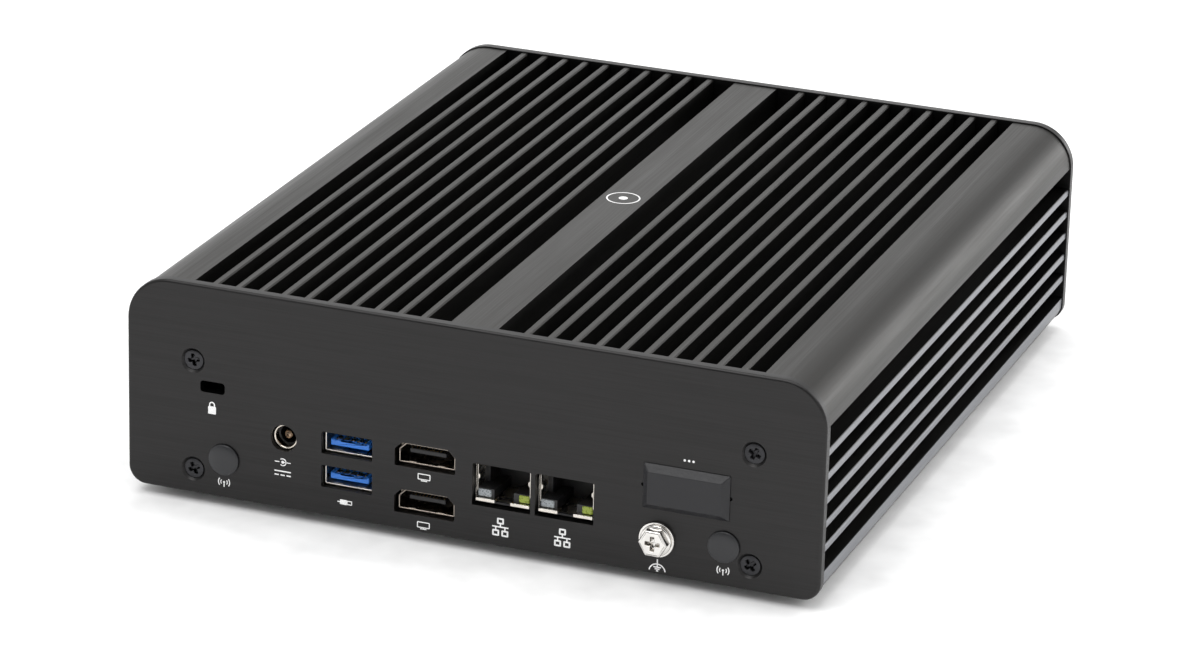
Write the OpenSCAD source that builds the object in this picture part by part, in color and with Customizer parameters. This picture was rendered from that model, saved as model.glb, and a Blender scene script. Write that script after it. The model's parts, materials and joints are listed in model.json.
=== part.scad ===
// Fanless mini computer in a finned aluminium case.
// Millimetres. +Z is up, the connector panel faces -Y, and the origin lies under the
// middle of the whole object, on the surface that its feet rest on.
// Case heights are given above the underside of the case, not above the feet.

/* [Body] */
// Overall width of the case
body_w = 197; // [190:1:240]
// Height of the case above its feet
body_h = 60; // [60:1:80]
// Depth of the case over both end panels
body_d = 228; // [220:1:280]
// Radius of the two upper long edges
top_r = 12.5; // [8:0.5:14]
// Radius of the two lower long edges
bottom_r = 5; // [3:0.5:6]
// Height of the feet
foot_h = 3; // [2:0.5:5]

/* [Chassis] */
// Height of the fins on the roof
roof_fin_h = 10; // [8:0.5:12]
// Depth of the fins on the sides
side_fin_h = 11; // [9:0.5:12]
// Thickness of one fin
fin_t = 2.1; // [1.6:0.1:2.6]
// Distance between neighbouring fins
fin_pitch = 6.65; // [6:0.05:8]
// Distance from the middle of the roof to the nearest fin
first_fin_x = 14.5; // [12:0.5:18]
// Width of the flat band along the middle of the roof
mid_band_w = 13.2; // [8:0.2:16]
// Width of the smooth shoulder at each side of the roof
shoulder_w = 18.3; // [17:0.1:24]
// Height of the smooth shoulder on each side face
shoulder_h = 12.2; // [11:0.1:15]
// Height of the smooth band at the foot of each side face
foot_band_h = 7.3; // [6:0.1:9]
// Gap from the lower band to the middle of the first side fin
first_side_fin = 6.3; // [5:0.1:8]
// Thickness of the roof under its fins
roof_t = 4; // [3:0.5:5]
// Thickness of the side walls behind their fins
wall_t = 4; // [3:0.5:5]
// How far each end panel stands proud of the chassis
reveal = 0.4; // [0:0.1:1]

/* [Panels and cover] */
// Thickness of the end panels
panel_t = 3; // [2.5:0.5:4]
// Softened edge around the outside of each end panel
panel_edge = 0.8; // [0.4:0.1:1.2]
// Thickness of the bottom cover
cover_t = 2; // [1.5:0.5:3]
// Gap around the bottom cover
cover_gap = 0.3; // [0.1:0.1:0.6]
// Distance of the panel screws from the middle
panel_screw_x = 79.2; // [76:0.1:81]
// Height of the lower panel screws
panel_screw_low = 7; // [6.5:0.1:8]
// Height of the upper panel screws
panel_screw_high = 38.2; // [34:0.1:40]
// Spacing of the threaded mounting holes in the bottom
mount_spacing = 100; // [75:25:100]

/* [Screws] */
// Thread diameter of the case screws
screw_d = 3; // [2.5:0.5:3]
// Head diameter of the case screws
screw_head_d = 5.6; // [5:0.1:6]
// Clearance of a screw in its hole, on the radius
screw_play = 0.05; // [0.02:0.01:0.1]
// Thread diameter of the earthing screw
earth_d = 4; // [3:0.5:5]
// Diameter of the earthing washer
earth_washer_d = 9.8; // [9:0.1:12]
// Thread diameter of the mounting nuts
mount_d = 4; // [3:1:5]

/* [Board] */
// Gap between the tallest socket and the main board
board_over = 0.8; // [0.4:0.1:2]
// Thickness of the main board
board_t = 1.6; // [1:0.1:2]
// Width of the main board
board_w = 156; // [150:1:160]
// Gap from the main board to the end panels
board_gap = 1; // [0.5:0.5:3]

/* [Sockets] */
// How far the sockets' mouths sit behind the panel's face
mouth_depth = 1.4; // [0.6:0.1:2]
// Middle of the power jack
jack_x = -52.7; // [-54:0.1:-50]
// Height of the power jack
jack_z = 20.2; // [19.5:0.1:20.5]
// Middle of the serial bus sockets
usb_x = -34.4; // [-36:0.1:-33]
// Height of the lower serial bus socket
usb_z = 11.4; // [11:0.1:12]
// Distance between the two serial bus sockets
usb_pitch = 9.6; // [9:0.1:9.8]
// Middle of the video sockets
video_x = -12; // [-13:0.1:-11]
// Height of the lower video socket
video_z = 8.2; // [8:0.1:9]
// Distance between the two video sockets
video_pitch = 13.3; // [12:0.1:13.5]
// Middle of the left network jack
net_x = 9.8; // [9:0.1:11]
// Distance between the two network jacks
net_pitch = 17.75; // [17.6:0.05:19]
// Underside of the network jacks
net_z = 11.4; // [11:0.1:12]

/* [Covers and plugs] */
// Middle of the service opening
service_x = 61.3; // [60:0.1:63]
// Height of the service opening
service_z = 24.8; // [24:0.1:26]
// Width of the service cover
service_w = 23.9; // [20:0.1:25]
// Height of the service cover
service_h = 12.6; // [10:0.1:13]
// How far the service cover stands out
service_out = 2; // [1.5:0.1:3]
// Middle of the left antenna hole
antenna_left_x = -70.1; // [-71:0.1:-69.5]
// Middle of the right antenna hole
antenna_right_x = 72; // [71:0.1:73]
// Height of the antenna holes
antenna_z = 11.2; // [10.5:0.1:12]
// Diameter of the antenna holes
antenna_d = 6.5; // [6:0.1:7]
// Diameter of the antenna plugs' heads
plug_d = 8.8; // [8:0.1:10]
// Middle of the earthing screw
earth_x = 53.7; // [52:0.1:55]
// Height of the earthing screw
earth_z = 10.2; // [9:0.1:11]
// Middle of the lock slot
lock_x = -73.5; // [-75:0.1:-70]
// Height of the lock slot
lock_z = 31.3; // [30:0.1:33]

/* [Power button] */
// Middle of the power button on the rear panel
button_x = -62; // [-66:1:-56]
// Height of the power button
button_z = 14; // [12:1:14]
// Diameter of the button's bezel
bezel_d = 14; // [13:0.5:16]
// Thickness of the bezel
bezel_t = 1.6; // [1:0.1:2]
// Diameter of the moving cap
cap_d = 9; // [8:0.5:10]
// Travel of the power button
button_travel = 1.2; // [0.8:0.1:1.5]

/* [Hidden] */

$fn = 64;
eps = 0.01;

// What stands out of the two end faces, which decides where the origin falls
earth_washer_t = 1;
earth_flange_t = 0.7;
earth_head_t = 2.4;
earth_out = earth_washer_t + earth_flange_t + earth_head_t;
face_y = -(body_d + earth_out + bezel_t) / 2 + earth_out;
rear_y = face_y + body_d;

// Serial bus sockets
usb_w = 14.2;
usb_h = 5.8;
usb_wall = 0.45;
usb_play = 0.2;
usb_cut_w = usb_w + 2 * usb_play;
usb_cut_h = usb_h + 2 * usb_play;
usb_sole = 0.6;
usb_rim = 0.3;
usb_len = 17;
tongue_w = 11.1;
tongue_t = 1.84;
tongue_drop = 1.75;
tongue_back = 0.6;
tongue_root = 3;
contact_w = 0.9;
contact_pitch = 2;
contact_depth = 0.3;
contact_floor = tongue_t - tongue_drop - contact_depth;
contact_tip = 0.7;
rear_usb_x = 54;

// Video sockets
video_w = 16.3;
video_h = 5.8;
video_bevel = 2;
video_wall = 0.5;
video_play = 0.45;
video_len = 15;
video_tongue_w = 10.4;
video_tongue_t = 1.3;
video_sole = 0.5;
video_root = 3;

// Network jacks
net_w = 15.9;
net_len = 21;
net_wall = 0.3;
net_cut_w = 16.4;
net_cut_low = 10.7;
net_cut_high = 22.5;
net_plug_w = 11.9;
net_plug_low = 2.7;
net_plug_h = 7.7;
net_plug_len = 14;
latch_w = 5.4;
window_w = 4.2;
window_h = 2.1;
window_in = 0.6;
net_inset = 0.4;
net_lip = 0.2;
net_front = -mouth_depth - net_inset;
net_visible = net_cut_high - net_z - net_wall;

// Sockets stand this far behind the end panel, with a floor this thick at their back
behind = 0.2;
socket_floor = 2;

// Inside of the case
cavity_x = body_w / 2 - side_fin_h - wall_t;
cavity_top = body_h - roof_fin_h - roof_t;
socket_top = max(usb_z + usb_pitch + usb_h / 2, video_z + video_pitch + video_h / 2);
board_z = socket_top + board_over;
board_top = board_z + board_t;
net_h = board_z - net_z;
board_d = body_d - 2 * panel_t - 2 * board_gap;
cover_top = cover_gap + cover_t;

// Fins
fin_tip = 0.35;
fin_root = 0.5;
fin_gap_min = 3;
fins_a_side = floor((body_w / 2 - shoulder_w - fin_gap_min - first_fin_x) / fin_pitch) + 1;
side_room = body_h - shoulder_h - foot_band_h - first_side_fin;
side_fins = floor((side_room - fin_gap_min) / fin_pitch) + 1;

// Screw bosses that run along the chassis
boss_r = 3.6;
boss_bore_len = 14;
cover_screw_inset = 30;
cover_screw_y = [cover_screw_inset, body_d / 2, body_d - cover_screw_inset];
cover_bore_len = 6.5;

// Case screws
screw_len = 11;
head_sink = 0.45;
head_cone = (screw_head_d - screw_d) / 2;
thread_r = screw_d / 2;
bore_r = thread_r + screw_play;

// Threads and holes
insert_wall = 1.2;
insert_flange_t = 2.5;
insert_rim = 1;
nut_flange_t = 1.6;
nut_flange_rim = 0.9;
sink_play = 0.25;
hole_play = 0.1;
case_cross = 3.2;
case_cross_depth = 1;

// Feet
foot_d = 14;
foot_stem_d = 5;
foot_x = 66;
foot_y = body_d / 2 - 24;
foot_sink = 1;
foot_barb = 0.75;
foot_barb_t = 1.5;

// Main board fixings, measured from the panel's face
standoff_x = 70;
standoff_inset = 22;
standoff_y = [standoff_inset, body_d / 2, body_d - standoff_inset];
standoff_d = 6;
stud_len = 3;
board_screw_len = 6;
board_screw_spare = 1;
board_head_d = 5.5;
board_head_t = 1.8;

// Processor and heat path
cpu_y = 96;
cpu_w = 46;
cpu_d = 25;
cpu_t = 1.2;
die_t = 0.6;
pad_t = 0.3;
pad_w = 36;
pad_d = 16;
die_x = -8;
die_w = 18;
die_d = 11;
hub_x = 11;
hub_w = 10;
hub_d = 7;
spreader_w = 84;
spreader_d = 64;
spreader_z = board_top + cpu_t + die_t + pad_t;
spreader_screw_x = 34;
spreader_screw_y = 24;
spreader_head_d = 5.6;
spreader_head_t = 2;
spreader_sink = 1.2;

// Power parts beside the processor
inductor_x = -54;
inductor_y = cpu_y - 24;
inductor_pitch = 13;
inductor_w = 8.4;
inductor_t = 3.4;
inductor_base = [9, 10, 0.8];
capacitor_x = -64;
capacitor_y = cpu_y - 34;
capacitor_pitch = 10;
capacitor_d = 6.3;
capacitor_t = 6;
capacitor_base = [6.6, 6.6, 0.9];
transistor_x = 51;
transistor_y = cpu_y - 16;
transistor_pitch = [9, 12];
transistor_size = [6, 5, 1.1];
controller_y = 40;
controller_size = [9, 9, 0.9];

// Memory
memory_w = 69.6;
memory_d = 30;
memory_y = [58, 100];
memory_x = -8;
memory_t = 1.2;
memory_lift = 1.75;
slot_h = 5.2;
slot_w = 73;
slot_d = 6.5;
slot_arm_w = 2;
slot_arm_len = 22;
slot_arm_y = slot_d / 2 + 10;
slot_floor = 1;
memory_gap = 1.3;
memory_chip = [11, 9, 1.1];
memory_chips = 4;
memory_chip_pitch = 16;
memory_chip_y = 3;

// Storage and expansion slots
storage_x = 52;
storage_y = 112;
storage_len = 80;
card_w = 22;
card_slot_h = 4.2;
card_slot_d = 8.7;
card_t = 0.8;
card_drop = 2.6;
card_play = 0.1;
card_cheek = 1;
card_seat = 0.2;
card_notch_d = 3.6;
controller_chip = [16, 16, 1.2];
controller_chip_y = -14;
flash_chip = [14, 20, 1.2];
flash_chip_y = 10;
post_bore_d = 2.1;
storage_screw_d = 2;
storage_head_d = 4.6;
storage_collar_d = 3.4;
storage_grip = 1.4;
storage_end = storage_y + card_seat + storage_len;
post_d = 5;
expansion_x = -60;
expansion_y = 150;

// Clock cell
cell_x = -58;
cell_y = 84;
cell_d = 20;
cell_t = 3.2;
holder_wall = 1.2;
holder_floor = 1;
holder_notch = 8;
cell_rim = 0.8;
cell_step = 0.4;

// Service opening and its cover
service_bevel = 1.9;
service_rim = 3.2;
service_play = 0.15;
service_wall = 1.2;
service_skirt = 0.2;
service_legs = panel_t + board_gap - behind;
seat_gap = 0.05;
notch_d = 1.2;

// Antenna plugs
plug_out = 1.3;
plug_edge = 0.5;
plug_play = 0.1;
plug_stem_len = 6;

// Lock slot
lock_w = 7.1;
lock_h = 3.2;
lock_corner = 0.9;

// Earthing screw
earth_af = 7;
earth_len = 9;
earth_play = 0.05;
earth_flange_rim = 0.6;
earth_cross = 4;
earth_cross_depth = 1.6;
washer_play = 0.2;

// Power button
barrel_d = 12;
barrel_len = 15;
barrel_play = 0.1;
nut_af = 14;
nut_t = 2.2;
cap_out = 0.5;
cap_t = 3;
cap_play = 0.1;
stem_d = 4;
guide_gap = 0.3;
stem_out = 2;
bezel_edge = 0.4;
ring_sink = 0.6;
ring_t = 0.5;
ring_w = 0.9;
spring_wire = 0.5;
spring_turns = 4;
spring_r = 3.2;
coil_steps = 14 * spring_turns;
coil_sides = 8;
cap_seat = cap_t + button_travel + guide_gap + spring_turns * spring_wire;
cap_under = bezel_t - cap_out - cap_t;
light_x = [-48, -42];
light_z = 14;
light_d = 3;
pipe_len = 8;
pipe_flange_t = 1.5;
pipe_flange_rim = 0.7;

// Power jack
jack_r = 3.55;
jack_hole_r = 3.7;
jack_sleeve_in = 2.85;
jack_pin_d = 2.5;
jack_w = 9;
jack_len = 14;
jack_base = 3;
jack_floor = 1;
jack_pin_in = 2;
jack_pin_tip = 0.6;
jack_pin_taper = 1;
sleeve_len = panel_t + behind + jack_len - jack_base - mouth_depth;

// Places a shape in the connector panel: x across, y up from the case's underside,
// z out of the panel's face
module on_front(x = 0, up = 0) {
    translate([x, face_y, foot_h + up]) rotate([90, 0, 0]) children();
}

// The same on the rear panel, as seen from behind
module on_rear(x = 0, up = 0) {
    translate([x, rear_y, foot_h + up]) rotate([90, 0, 180]) children();
}

// Places a shape over a point of the plan: y is measured back from the panel's face
module on_plan(x, y, up) {
    translate([x, face_y + y, foot_h + up]) children();
}

// A box centred in x and y that rises from its base
module slab(w, d, h) {
    translate([-w / 2, -d / 2, 0]) cube([w, d, h]);
}

// The same from a list of width, depth and height
module block(size) {
    slab(size[0], size[1], size[2]);
}

// Cross-section of the case: two large upper corners and two small lower ones
module case_outline(inset = 0) {
    half = body_w / 2;
    union() {
        for (s = [-1, 1]) {
            translate([s * (half - top_r), body_h - top_r]) circle(r = top_r - inset);
            translate([s * (half - bottom_r), bottom_r]) circle(r = bottom_r - inset);
        }
        translate([-half + inset, bottom_r]) square([body_w - 2 * inset, body_h - top_r - bottom_r]);
        translate([-half + top_r, body_h / 2]) square([body_w - 2 * top_r, body_h / 2 - inset]);
        translate([-half + bottom_r, inset]) square([body_w - 2 * bottom_r, body_h / 2]);
    }
}

// One fin standing along +Y of the section, with softened tips
module fin(height) {
    polygon([
        [-fin_t / 2, -fin_root], [fin_t / 2, -fin_root], [fin_t / 2, height - fin_tip],
        [fin_t / 2 - fin_tip, height], [-fin_t / 2 + fin_tip, height],
        [-fin_t / 2, height - fin_tip],
    ]);
}

// Right-hand half of the spaces between the fins
module fin_spaces() {
    translate([mid_band_w / 2, body_h - roof_fin_h])
        square([body_w / 2 - shoulder_w - mid_band_w / 2, roof_fin_h + 1]);
    translate([body_w / 2 - side_fin_h, foot_band_h])
        square([side_fin_h + 1, body_h - shoulder_h - foot_band_h]);
}

// Right-hand half of the fins
module fins() {
    for (i = [0 : fins_a_side - 1])
        translate([first_fin_x + i * fin_pitch, body_h - roof_fin_h]) fin(roof_fin_h - reveal);
    for (i = [0 : side_fins - 1])
        translate([body_w / 2 - side_fin_h, foot_band_h + first_side_fin + i * fin_pitch])
            rotate(-90) fin(side_fin_h - reveal);
}

// Right-hand ribs inside the chassis that take the panel and cover screws
module screw_ribs() {
    translate([panel_screw_x - boss_r, cover_top])
        square([cavity_x - panel_screw_x + boss_r + fin_root, panel_screw_low + boss_r - cover_top]);
    translate([panel_screw_x, panel_screw_high]) circle(r = boss_r);
    translate([panel_screw_x, panel_screw_high - boss_r])
        square([cavity_x - panel_screw_x + fin_root, 2 * boss_r]);
}

module chassis_section() {
    difference() {
        case_outline(reveal);
        translate([-cavity_x, -1]) square([2 * cavity_x, cavity_top + 1]);
        fin_spaces();
        mirror([1, 0]) fin_spaces();
    }
    for (s = [0, 1]) mirror([s, 0]) {
        fins();
        screw_ribs();
    }
}

module chassis() {
    color([0.19, 0.185, 0.18]) difference() {
        on_front() translate([0, 0, -(body_d - panel_t)])
            linear_extrude(body_d - 2 * panel_t) chassis_section();
        for (s = [-1, 1], up = [panel_screw_low, panel_screw_high]) {
            on_front(s * panel_screw_x, up)
                translate([0, 0, -panel_t - boss_bore_len]) cylinder(h = boss_bore_len + 1, r = bore_r);
            on_rear(s * panel_screw_x, up)
                translate([0, 0, -panel_t - boss_bore_len]) cylinder(h = boss_bore_len + 1, r = bore_r);
        }
        for (s = [-1, 1], y = cover_screw_y)
            on_plan(s * panel_screw_x, y, cover_top - 1) cylinder(h = cover_bore_len + 1, r = bore_r);
        for (s = [-1, 1], y = standoff_y)
            on_plan(s * standoff_x, y, cavity_top - 1) cylinder(h = stud_len + 1.2, r = bore_r);
        for (sx = [-1, 1], sy = [-1, 1])
            on_plan(sx * spreader_screw_x, cpu_y + sy * spreader_screw_y, cavity_top - 1)
                cylinder(h = stud_len + 1.2, r = bore_r);
    }
}

// Plate with the case's outline and a softened front edge; its face is at z = 0
module end_plate() {
    half = body_w / 2;
    flat_t = panel_t - panel_edge;
    translate([0, 0, -panel_t]) linear_extrude(flat_t) case_outline();
    hull() {
        translate([0, 0, -panel_edge - eps]) linear_extrude(eps) case_outline();
        translate([0, 0, -eps]) linear_extrude(eps) case_outline(panel_edge);
    }
}

// Countersunk hole for a case screw, cut from a face at z = 0
module sunk_hole(depth) {
    translate([0, 0, -depth - 1]) cylinder(h = depth + 2, r = bore_r + hole_play);
    translate([0, 0, -head_sink]) cylinder(h = head_sink + 1, r = screw_head_d / 2 + sink_play);
    translate([0, 0, -head_sink - head_cone])
        cylinder(h = head_cone, r1 = thread_r, r2 = screw_head_d / 2);
}

// Cross recess cut down from z = 0
module cross_slot(size, depth) {
    for (a = [0, 90]) rotate(a) translate([-size / 2, -size * 0.14, -depth])
        cube([size, size * 0.28, depth + 1]);
}

// Flat-headed case screw whose head top lies head_sink below z = 0
module sunk_screw(length) {
    difference() {
        union() {
            translate([0, 0, -head_sink - head_cone])
                cylinder(h = head_cone, r1 = thread_r, r2 = screw_head_d / 2);
            translate([0, 0, -head_sink - length]) cylinder(h = length, r = thread_r);
        }
        translate([0, 0, -head_sink]) cross_slot(case_cross, case_cross_depth);
    }
}

module each_panel_screw() {
    for (s = [-1, 1], up = [panel_screw_low, panel_screw_high])
        translate([s * panel_screw_x, up, 0]) children();
}

// Outline of a video socket: wide at the bottom, with cut upper corners
module video_outline(w, h, bevel) {
    polygon([
        [-w / 2, -h / 2], [w / 2, -h / 2], [w / 2, h / 2 - bevel], [w / 2 - bevel, h / 2],
        [-w / 2 + bevel, h / 2], [-w / 2, h / 2 - bevel],
    ]);
}

// Inside of a video socket's shell
module video_mouth() {
    video_outline(video_w - 2 * video_wall, video_h - 2 * video_wall, video_bevel - video_wall / 2);
}

// Rounded slot outline
module slot_outline(w, h, r) {
    union() {
        for (sx = [-1, 1], sy = [-1, 1]) translate([sx * (w / 2 - r), sy * (h / 2 - r)]) circle(r = r);
        square([w - 2 * r, h], center = true);
        square([w, h - 2 * r], center = true);
    }
}

module usb_cuts() {
    for (i = [0, 1]) translate([0, usb_z + i * usb_pitch, -panel_t - 1])
        linear_extrude(panel_t + 2) square([usb_cut_w, usb_cut_h], center = true);
}

module io_panel() {
    color([0.20, 0.20, 0.205]) on_front() difference() {
        end_plate();
        each_panel_screw() sunk_hole(panel_t);
        translate([lock_x, lock_z, -panel_t - 1]) linear_extrude(panel_t + 2)
            slot_outline(lock_w, lock_h, lock_corner);
        for (x = [antenna_left_x, antenna_right_x]) translate([x, antenna_z, -panel_t - 1])
            cylinder(h = panel_t + 2, d = antenna_d);
        translate([jack_x, jack_z, -panel_t - 1]) cylinder(h = panel_t + 2, r = jack_hole_r);
        translate([usb_x, 0, 0]) usb_cuts();
        for (i = [0, 1]) translate([video_x, video_z + i * video_pitch, -panel_t - 1])
            linear_extrude(panel_t + 2)
                video_outline(video_w + 2 * video_play, video_h + 2 * video_play, video_bevel);
        for (i = [0, 1]) translate([net_x + i * net_pitch - net_cut_w / 2, net_cut_low, -panel_t - 1])
            cube([net_cut_w, net_cut_high - net_cut_low, panel_t + 2]);
        translate([service_x, service_z, -panel_t - 1]) linear_extrude(panel_t + 2)
            square([service_w - 2 * service_rim, service_h - service_rim], center = true);
        for (s = [-1, 1]) translate([service_x + s * service_w / 2, service_z, -1])
            cylinder(h = 2, d = notch_d);
        translate([earth_x, earth_z, -panel_t - 1])
            cylinder(h = panel_t + 2, d = earth_d + 2 * insert_wall);
    }
}

module rear_panel() {
    color([0.20, 0.20, 0.205]) on_rear() difference() {
        end_plate();
        each_panel_screw() sunk_hole(panel_t);
        translate([-button_x, button_z, -panel_t - 1])
            cylinder(h = panel_t + 2, d = barrel_d + 2 * barrel_play);
        for (x = light_x) translate([-x, light_z, -panel_t - 1]) cylinder(h = panel_t + 2, d = light_d);
        translate([-rear_usb_x, 0, 0]) usb_cuts();
    }
}

module bottom_cover() {
    color([0.17, 0.17, 0.175]) difference() {
        on_plan(0, body_d / 2, cover_gap)
            slab(2 * (cavity_x - cover_gap), body_d - 2 * panel_t - 2 * cover_gap, cover_t);
        for (s = [-1, 1], y = cover_screw_y)
            on_plan(s * panel_screw_x, y, cover_gap) mirror([0, 0, 1]) sunk_hole(cover_t);
        for (sx = [-1, 1], sy = [-1, 1]) {
            on_plan(sx * mount_spacing / 2, body_d / 2 + sy * mount_spacing / 2, cover_gap - 1)
                cylinder(h = cover_t + 2, d = mount_d + 2 * insert_wall);
            on_plan(sx * foot_x, body_d / 2 + sy * foot_y, cover_gap - 1)
                cylinder(h = cover_t + 2, d = foot_stem_d);
        }
    }
}

module feet() {
    color([0.07, 0.07, 0.07]) for (sx = [-1, 1], sy = [-1, 1])
        translate([sx * foot_x, face_y + body_d / 2 + sy * foot_y, 0]) {
            cylinder(h = foot_sink, d1 = foot_d - 2 * foot_sink, d2 = foot_d);
            translate([0, 0, foot_sink]) cylinder(h = foot_h + cover_gap - foot_sink, d = foot_d);
            cylinder(h = foot_h + cover_top + eps, d = foot_stem_d);
            translate([0, 0, foot_h + cover_top])
                cylinder(h = foot_barb_t, d1 = foot_stem_d + 2 * foot_barb, d2 = foot_stem_d - foot_barb);
        }
}

module io_panel_screws() {
    color([0.1, 0.1, 0.1]) on_front() each_panel_screw() sunk_screw(screw_len);
}

module rear_panel_screws() {
    color([0.1, 0.1, 0.1]) on_rear() each_panel_screw() sunk_screw(screw_len);
}

module cover_screws() {
    color([0.1, 0.1, 0.1]) for (s = [-1, 1], y = cover_screw_y)
        on_plan(s * panel_screw_x, y, cover_gap) mirror([0, 0, 1]) sunk_screw(cover_bore_len);
}

// Press nuts for the mounting screws, flush with the cover's underside
module mount_nuts() {
    color([0.75, 0.75, 0.73]) for (sx = [-1, 1], sy = [-1, 1])
        on_plan(sx * mount_spacing / 2, body_d / 2 + sy * mount_spacing / 2, cover_gap) difference() {
            union() {
                cylinder(h = cover_t, d = mount_d + 2 * insert_wall);
                translate([0, 0, cover_t])
                    cylinder(h = nut_flange_t, d = mount_d + 2 * insert_wall + 2 * nut_flange_rim);
            }
            translate([0, 0, -1]) cylinder(h = cover_t + 4, d = mount_d);
        }
}

module main_board() {
    color([0.05, 0.20, 0.13]) difference() {
        on_plan(0, body_d / 2, board_z) slab(board_w, board_d, board_t);
        for (s = [-1, 1], y = standoff_y)
            on_plan(s * standoff_x, y, board_z - 1) cylinder(h = board_t + 2, r = bore_r + hole_play);
    }
}

module board_standoffs() {
    color([0.80, 0.66, 0.35]) for (s = [-1, 1], y = standoff_y) on_plan(s * standoff_x, y, board_top)
        difference() {
            union() {
                cylinder(h = cavity_top - board_top, d = standoff_d, $fn = 6);
                cylinder(h = cavity_top - board_top + stud_len, r = thread_r);
            }
            translate([0, 0, -1]) cylinder(h = board_screw_len + 1, r = bore_r);
        }
}

// Round-headed screw that points up from a face at z = 0
module pan_screw(length, head_d, head_t) {
    difference() {
        union() {
            translate([0, 0, -head_t]) cylinder(h = head_t, d = head_d);
            cylinder(h = length, r = thread_r);
        }
        translate([0, 0, -head_t]) mirror([0, 0, 1]) cross_slot(head_d * 0.55, head_t * 0.55);
    }
}

module board_screws() {
    length = board_t + board_screw_len - board_screw_spare;
    color([0.72, 0.72, 0.70]) for (s = [-1, 1], y = standoff_y)
        on_plan(s * standoff_x, y, board_z) pan_screw(length, board_head_d, board_head_t);
}

module processor() {
    color([0.10, 0.26, 0.16]) on_plan(0, cpu_y, board_top) slab(cpu_w, cpu_d, cpu_t);
}

// Two bare dies side by side
module die_pair(t) {
    translate([die_x, 0, 0]) slab(die_w, die_d, t);
    translate([hub_x, 0, 0]) slab(hub_w, hub_d, t);
}

module processor_dies() {
    color([0.32, 0.34, 0.38]) on_plan(0, cpu_y, board_top + cpu_t) die_pair(die_t);
}

module thermal_pad() {
    color([0.62, 0.62, 0.66]) on_plan(0, cpu_y, board_top + cpu_t + die_t) slab(pad_w, pad_d, pad_t);
}

module heat_spreader() {
    spreader_h = cavity_top - spreader_z;
    color([0.72, 0.73, 0.74]) on_plan(0, cpu_y, spreader_z) difference() {
        slab(spreader_w, spreader_d, spreader_h);
        for (sx = [-1, 1], sy = [-1, 1])
            translate([sx * spreader_screw_x, sy * spreader_screw_y, -1]) {
                cylinder(h = spreader_h + 2, r = bore_r + hole_play);
                cylinder(h = spreader_head_t + spreader_sink + 1, d = spreader_head_d + 4 * hole_play);
            }
    }
}

module spreader_screws() {
    seat_z = spreader_z + spreader_head_t + spreader_sink;
    color([0.72, 0.72, 0.70]) for (sx = [-1, 1], sy = [-1, 1])
        on_plan(sx * spreader_screw_x, cpu_y + sy * spreader_screw_y, seat_z)
            pan_screw(cavity_top - seat_z + stud_len, spreader_head_d, spreader_head_t);
}

module power_inductors() {
    color([0.22, 0.22, 0.23]) for (i = [0 : 3])
        on_plan(inductor_x, inductor_y + i * inductor_pitch, board_top) {
            block(inductor_base);
            translate([0, 0, inductor_base[2]]) slab(inductor_w, inductor_w, inductor_t);
        }
}

module capacitors() {
    color([0.68, 0.69, 0.72]) for (i = [0 : 4])
        on_plan(capacitor_x, capacitor_y + i * capacitor_pitch, board_top) {
            block(capacitor_base);
            translate([0, 0, capacitor_base[2]]) cylinder(h = capacitor_t, d = capacitor_d);
        }
}

module power_transistors() {
    color([0.08, 0.08, 0.09]) for (i = [0, 1], k = [0 : 2])
        on_plan(transistor_x + i * transistor_pitch[0], transistor_y + k * transistor_pitch[1], board_top)
            block(transistor_size);
}

module network_controllers() {
    color([0.08, 0.08, 0.09]) for (i = [0, 1])
        on_plan(net_x + i * net_pitch, controller_y, board_top) block(controller_size);
}

module memory_sockets() {
    color([0.12, 0.12, 0.12]) for (y = memory_y) on_plan(memory_x, y, board_z - slot_h) difference() {
        union() {
            slab(slot_w, slot_d, slot_h);
            for (s = [-1, 1]) translate([s * (slot_w - slot_arm_w) / 2, slot_arm_y, slot_floor])
                slab(slot_arm_w, slot_arm_len, slot_h - slot_floor);
        }
        translate([0, slot_arm_y, memory_lift]) slab(memory_w + hole_play, slot_arm_len + 2, memory_t);
    }
}

// A memory module lies in its socket with its chips facing down
module memory_modules() {
    for (y = memory_y) on_plan(memory_x, y + memory_d / 2 + memory_gap, board_z - slot_h + memory_lift) {
        color([0.06, 0.22, 0.14]) slab(memory_w, memory_d, memory_t);
        color([0.07, 0.07, 0.08]) for (i = [0 : memory_chips - 1])
            translate([(i - (memory_chips - 1) / 2) * memory_chip_pitch, memory_chip_y, -memory_chip[2]])
                slab(memory_chip[0], memory_chip[1], memory_chip[2] + eps);
    }
}

module card_slot() {
    difference() {
        translate([0, 0, -card_slot_h]) slab(card_w, card_slot_d, card_slot_h);
        translate([0, card_slot_d / 2, -card_drop - card_t - card_play])
            slab(card_w - 2 * card_cheek, card_slot_d, card_t + 2 * card_play);
    }
}

module storage_socket() {
    color([0.11, 0.11, 0.11]) on_plan(storage_x, storage_y, board_z) card_slot();
}

module expansion_socket() {
    color([0.11, 0.11, 0.11]) on_plan(expansion_x, expansion_y, board_z) card_slot();
}

module storage_module() {
    on_plan(storage_x, storage_end - storage_len / 2, board_z - card_drop - card_t) {
        color([0.05, 0.18, 0.30]) difference() {
            union() {
                translate([0, card_slot_d / 2, 0]) slab(card_w, storage_len - card_slot_d, card_t);
                slab(card_w - 2 * card_cheek - 4 * card_play, storage_len, card_t);
            }
            translate([0, storage_len / 2, -1]) cylinder(h = 3, d = card_notch_d);
        }
        color([0.07, 0.07, 0.08]) {
            translate([0, controller_chip_y, -controller_chip[2]])
                slab(controller_chip[0], controller_chip[1], controller_chip[2] + eps);
            translate([0, flash_chip_y, -flash_chip[2]])
                slab(flash_chip[0], flash_chip[1], flash_chip[2] + eps);
        }
    }
}

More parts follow.
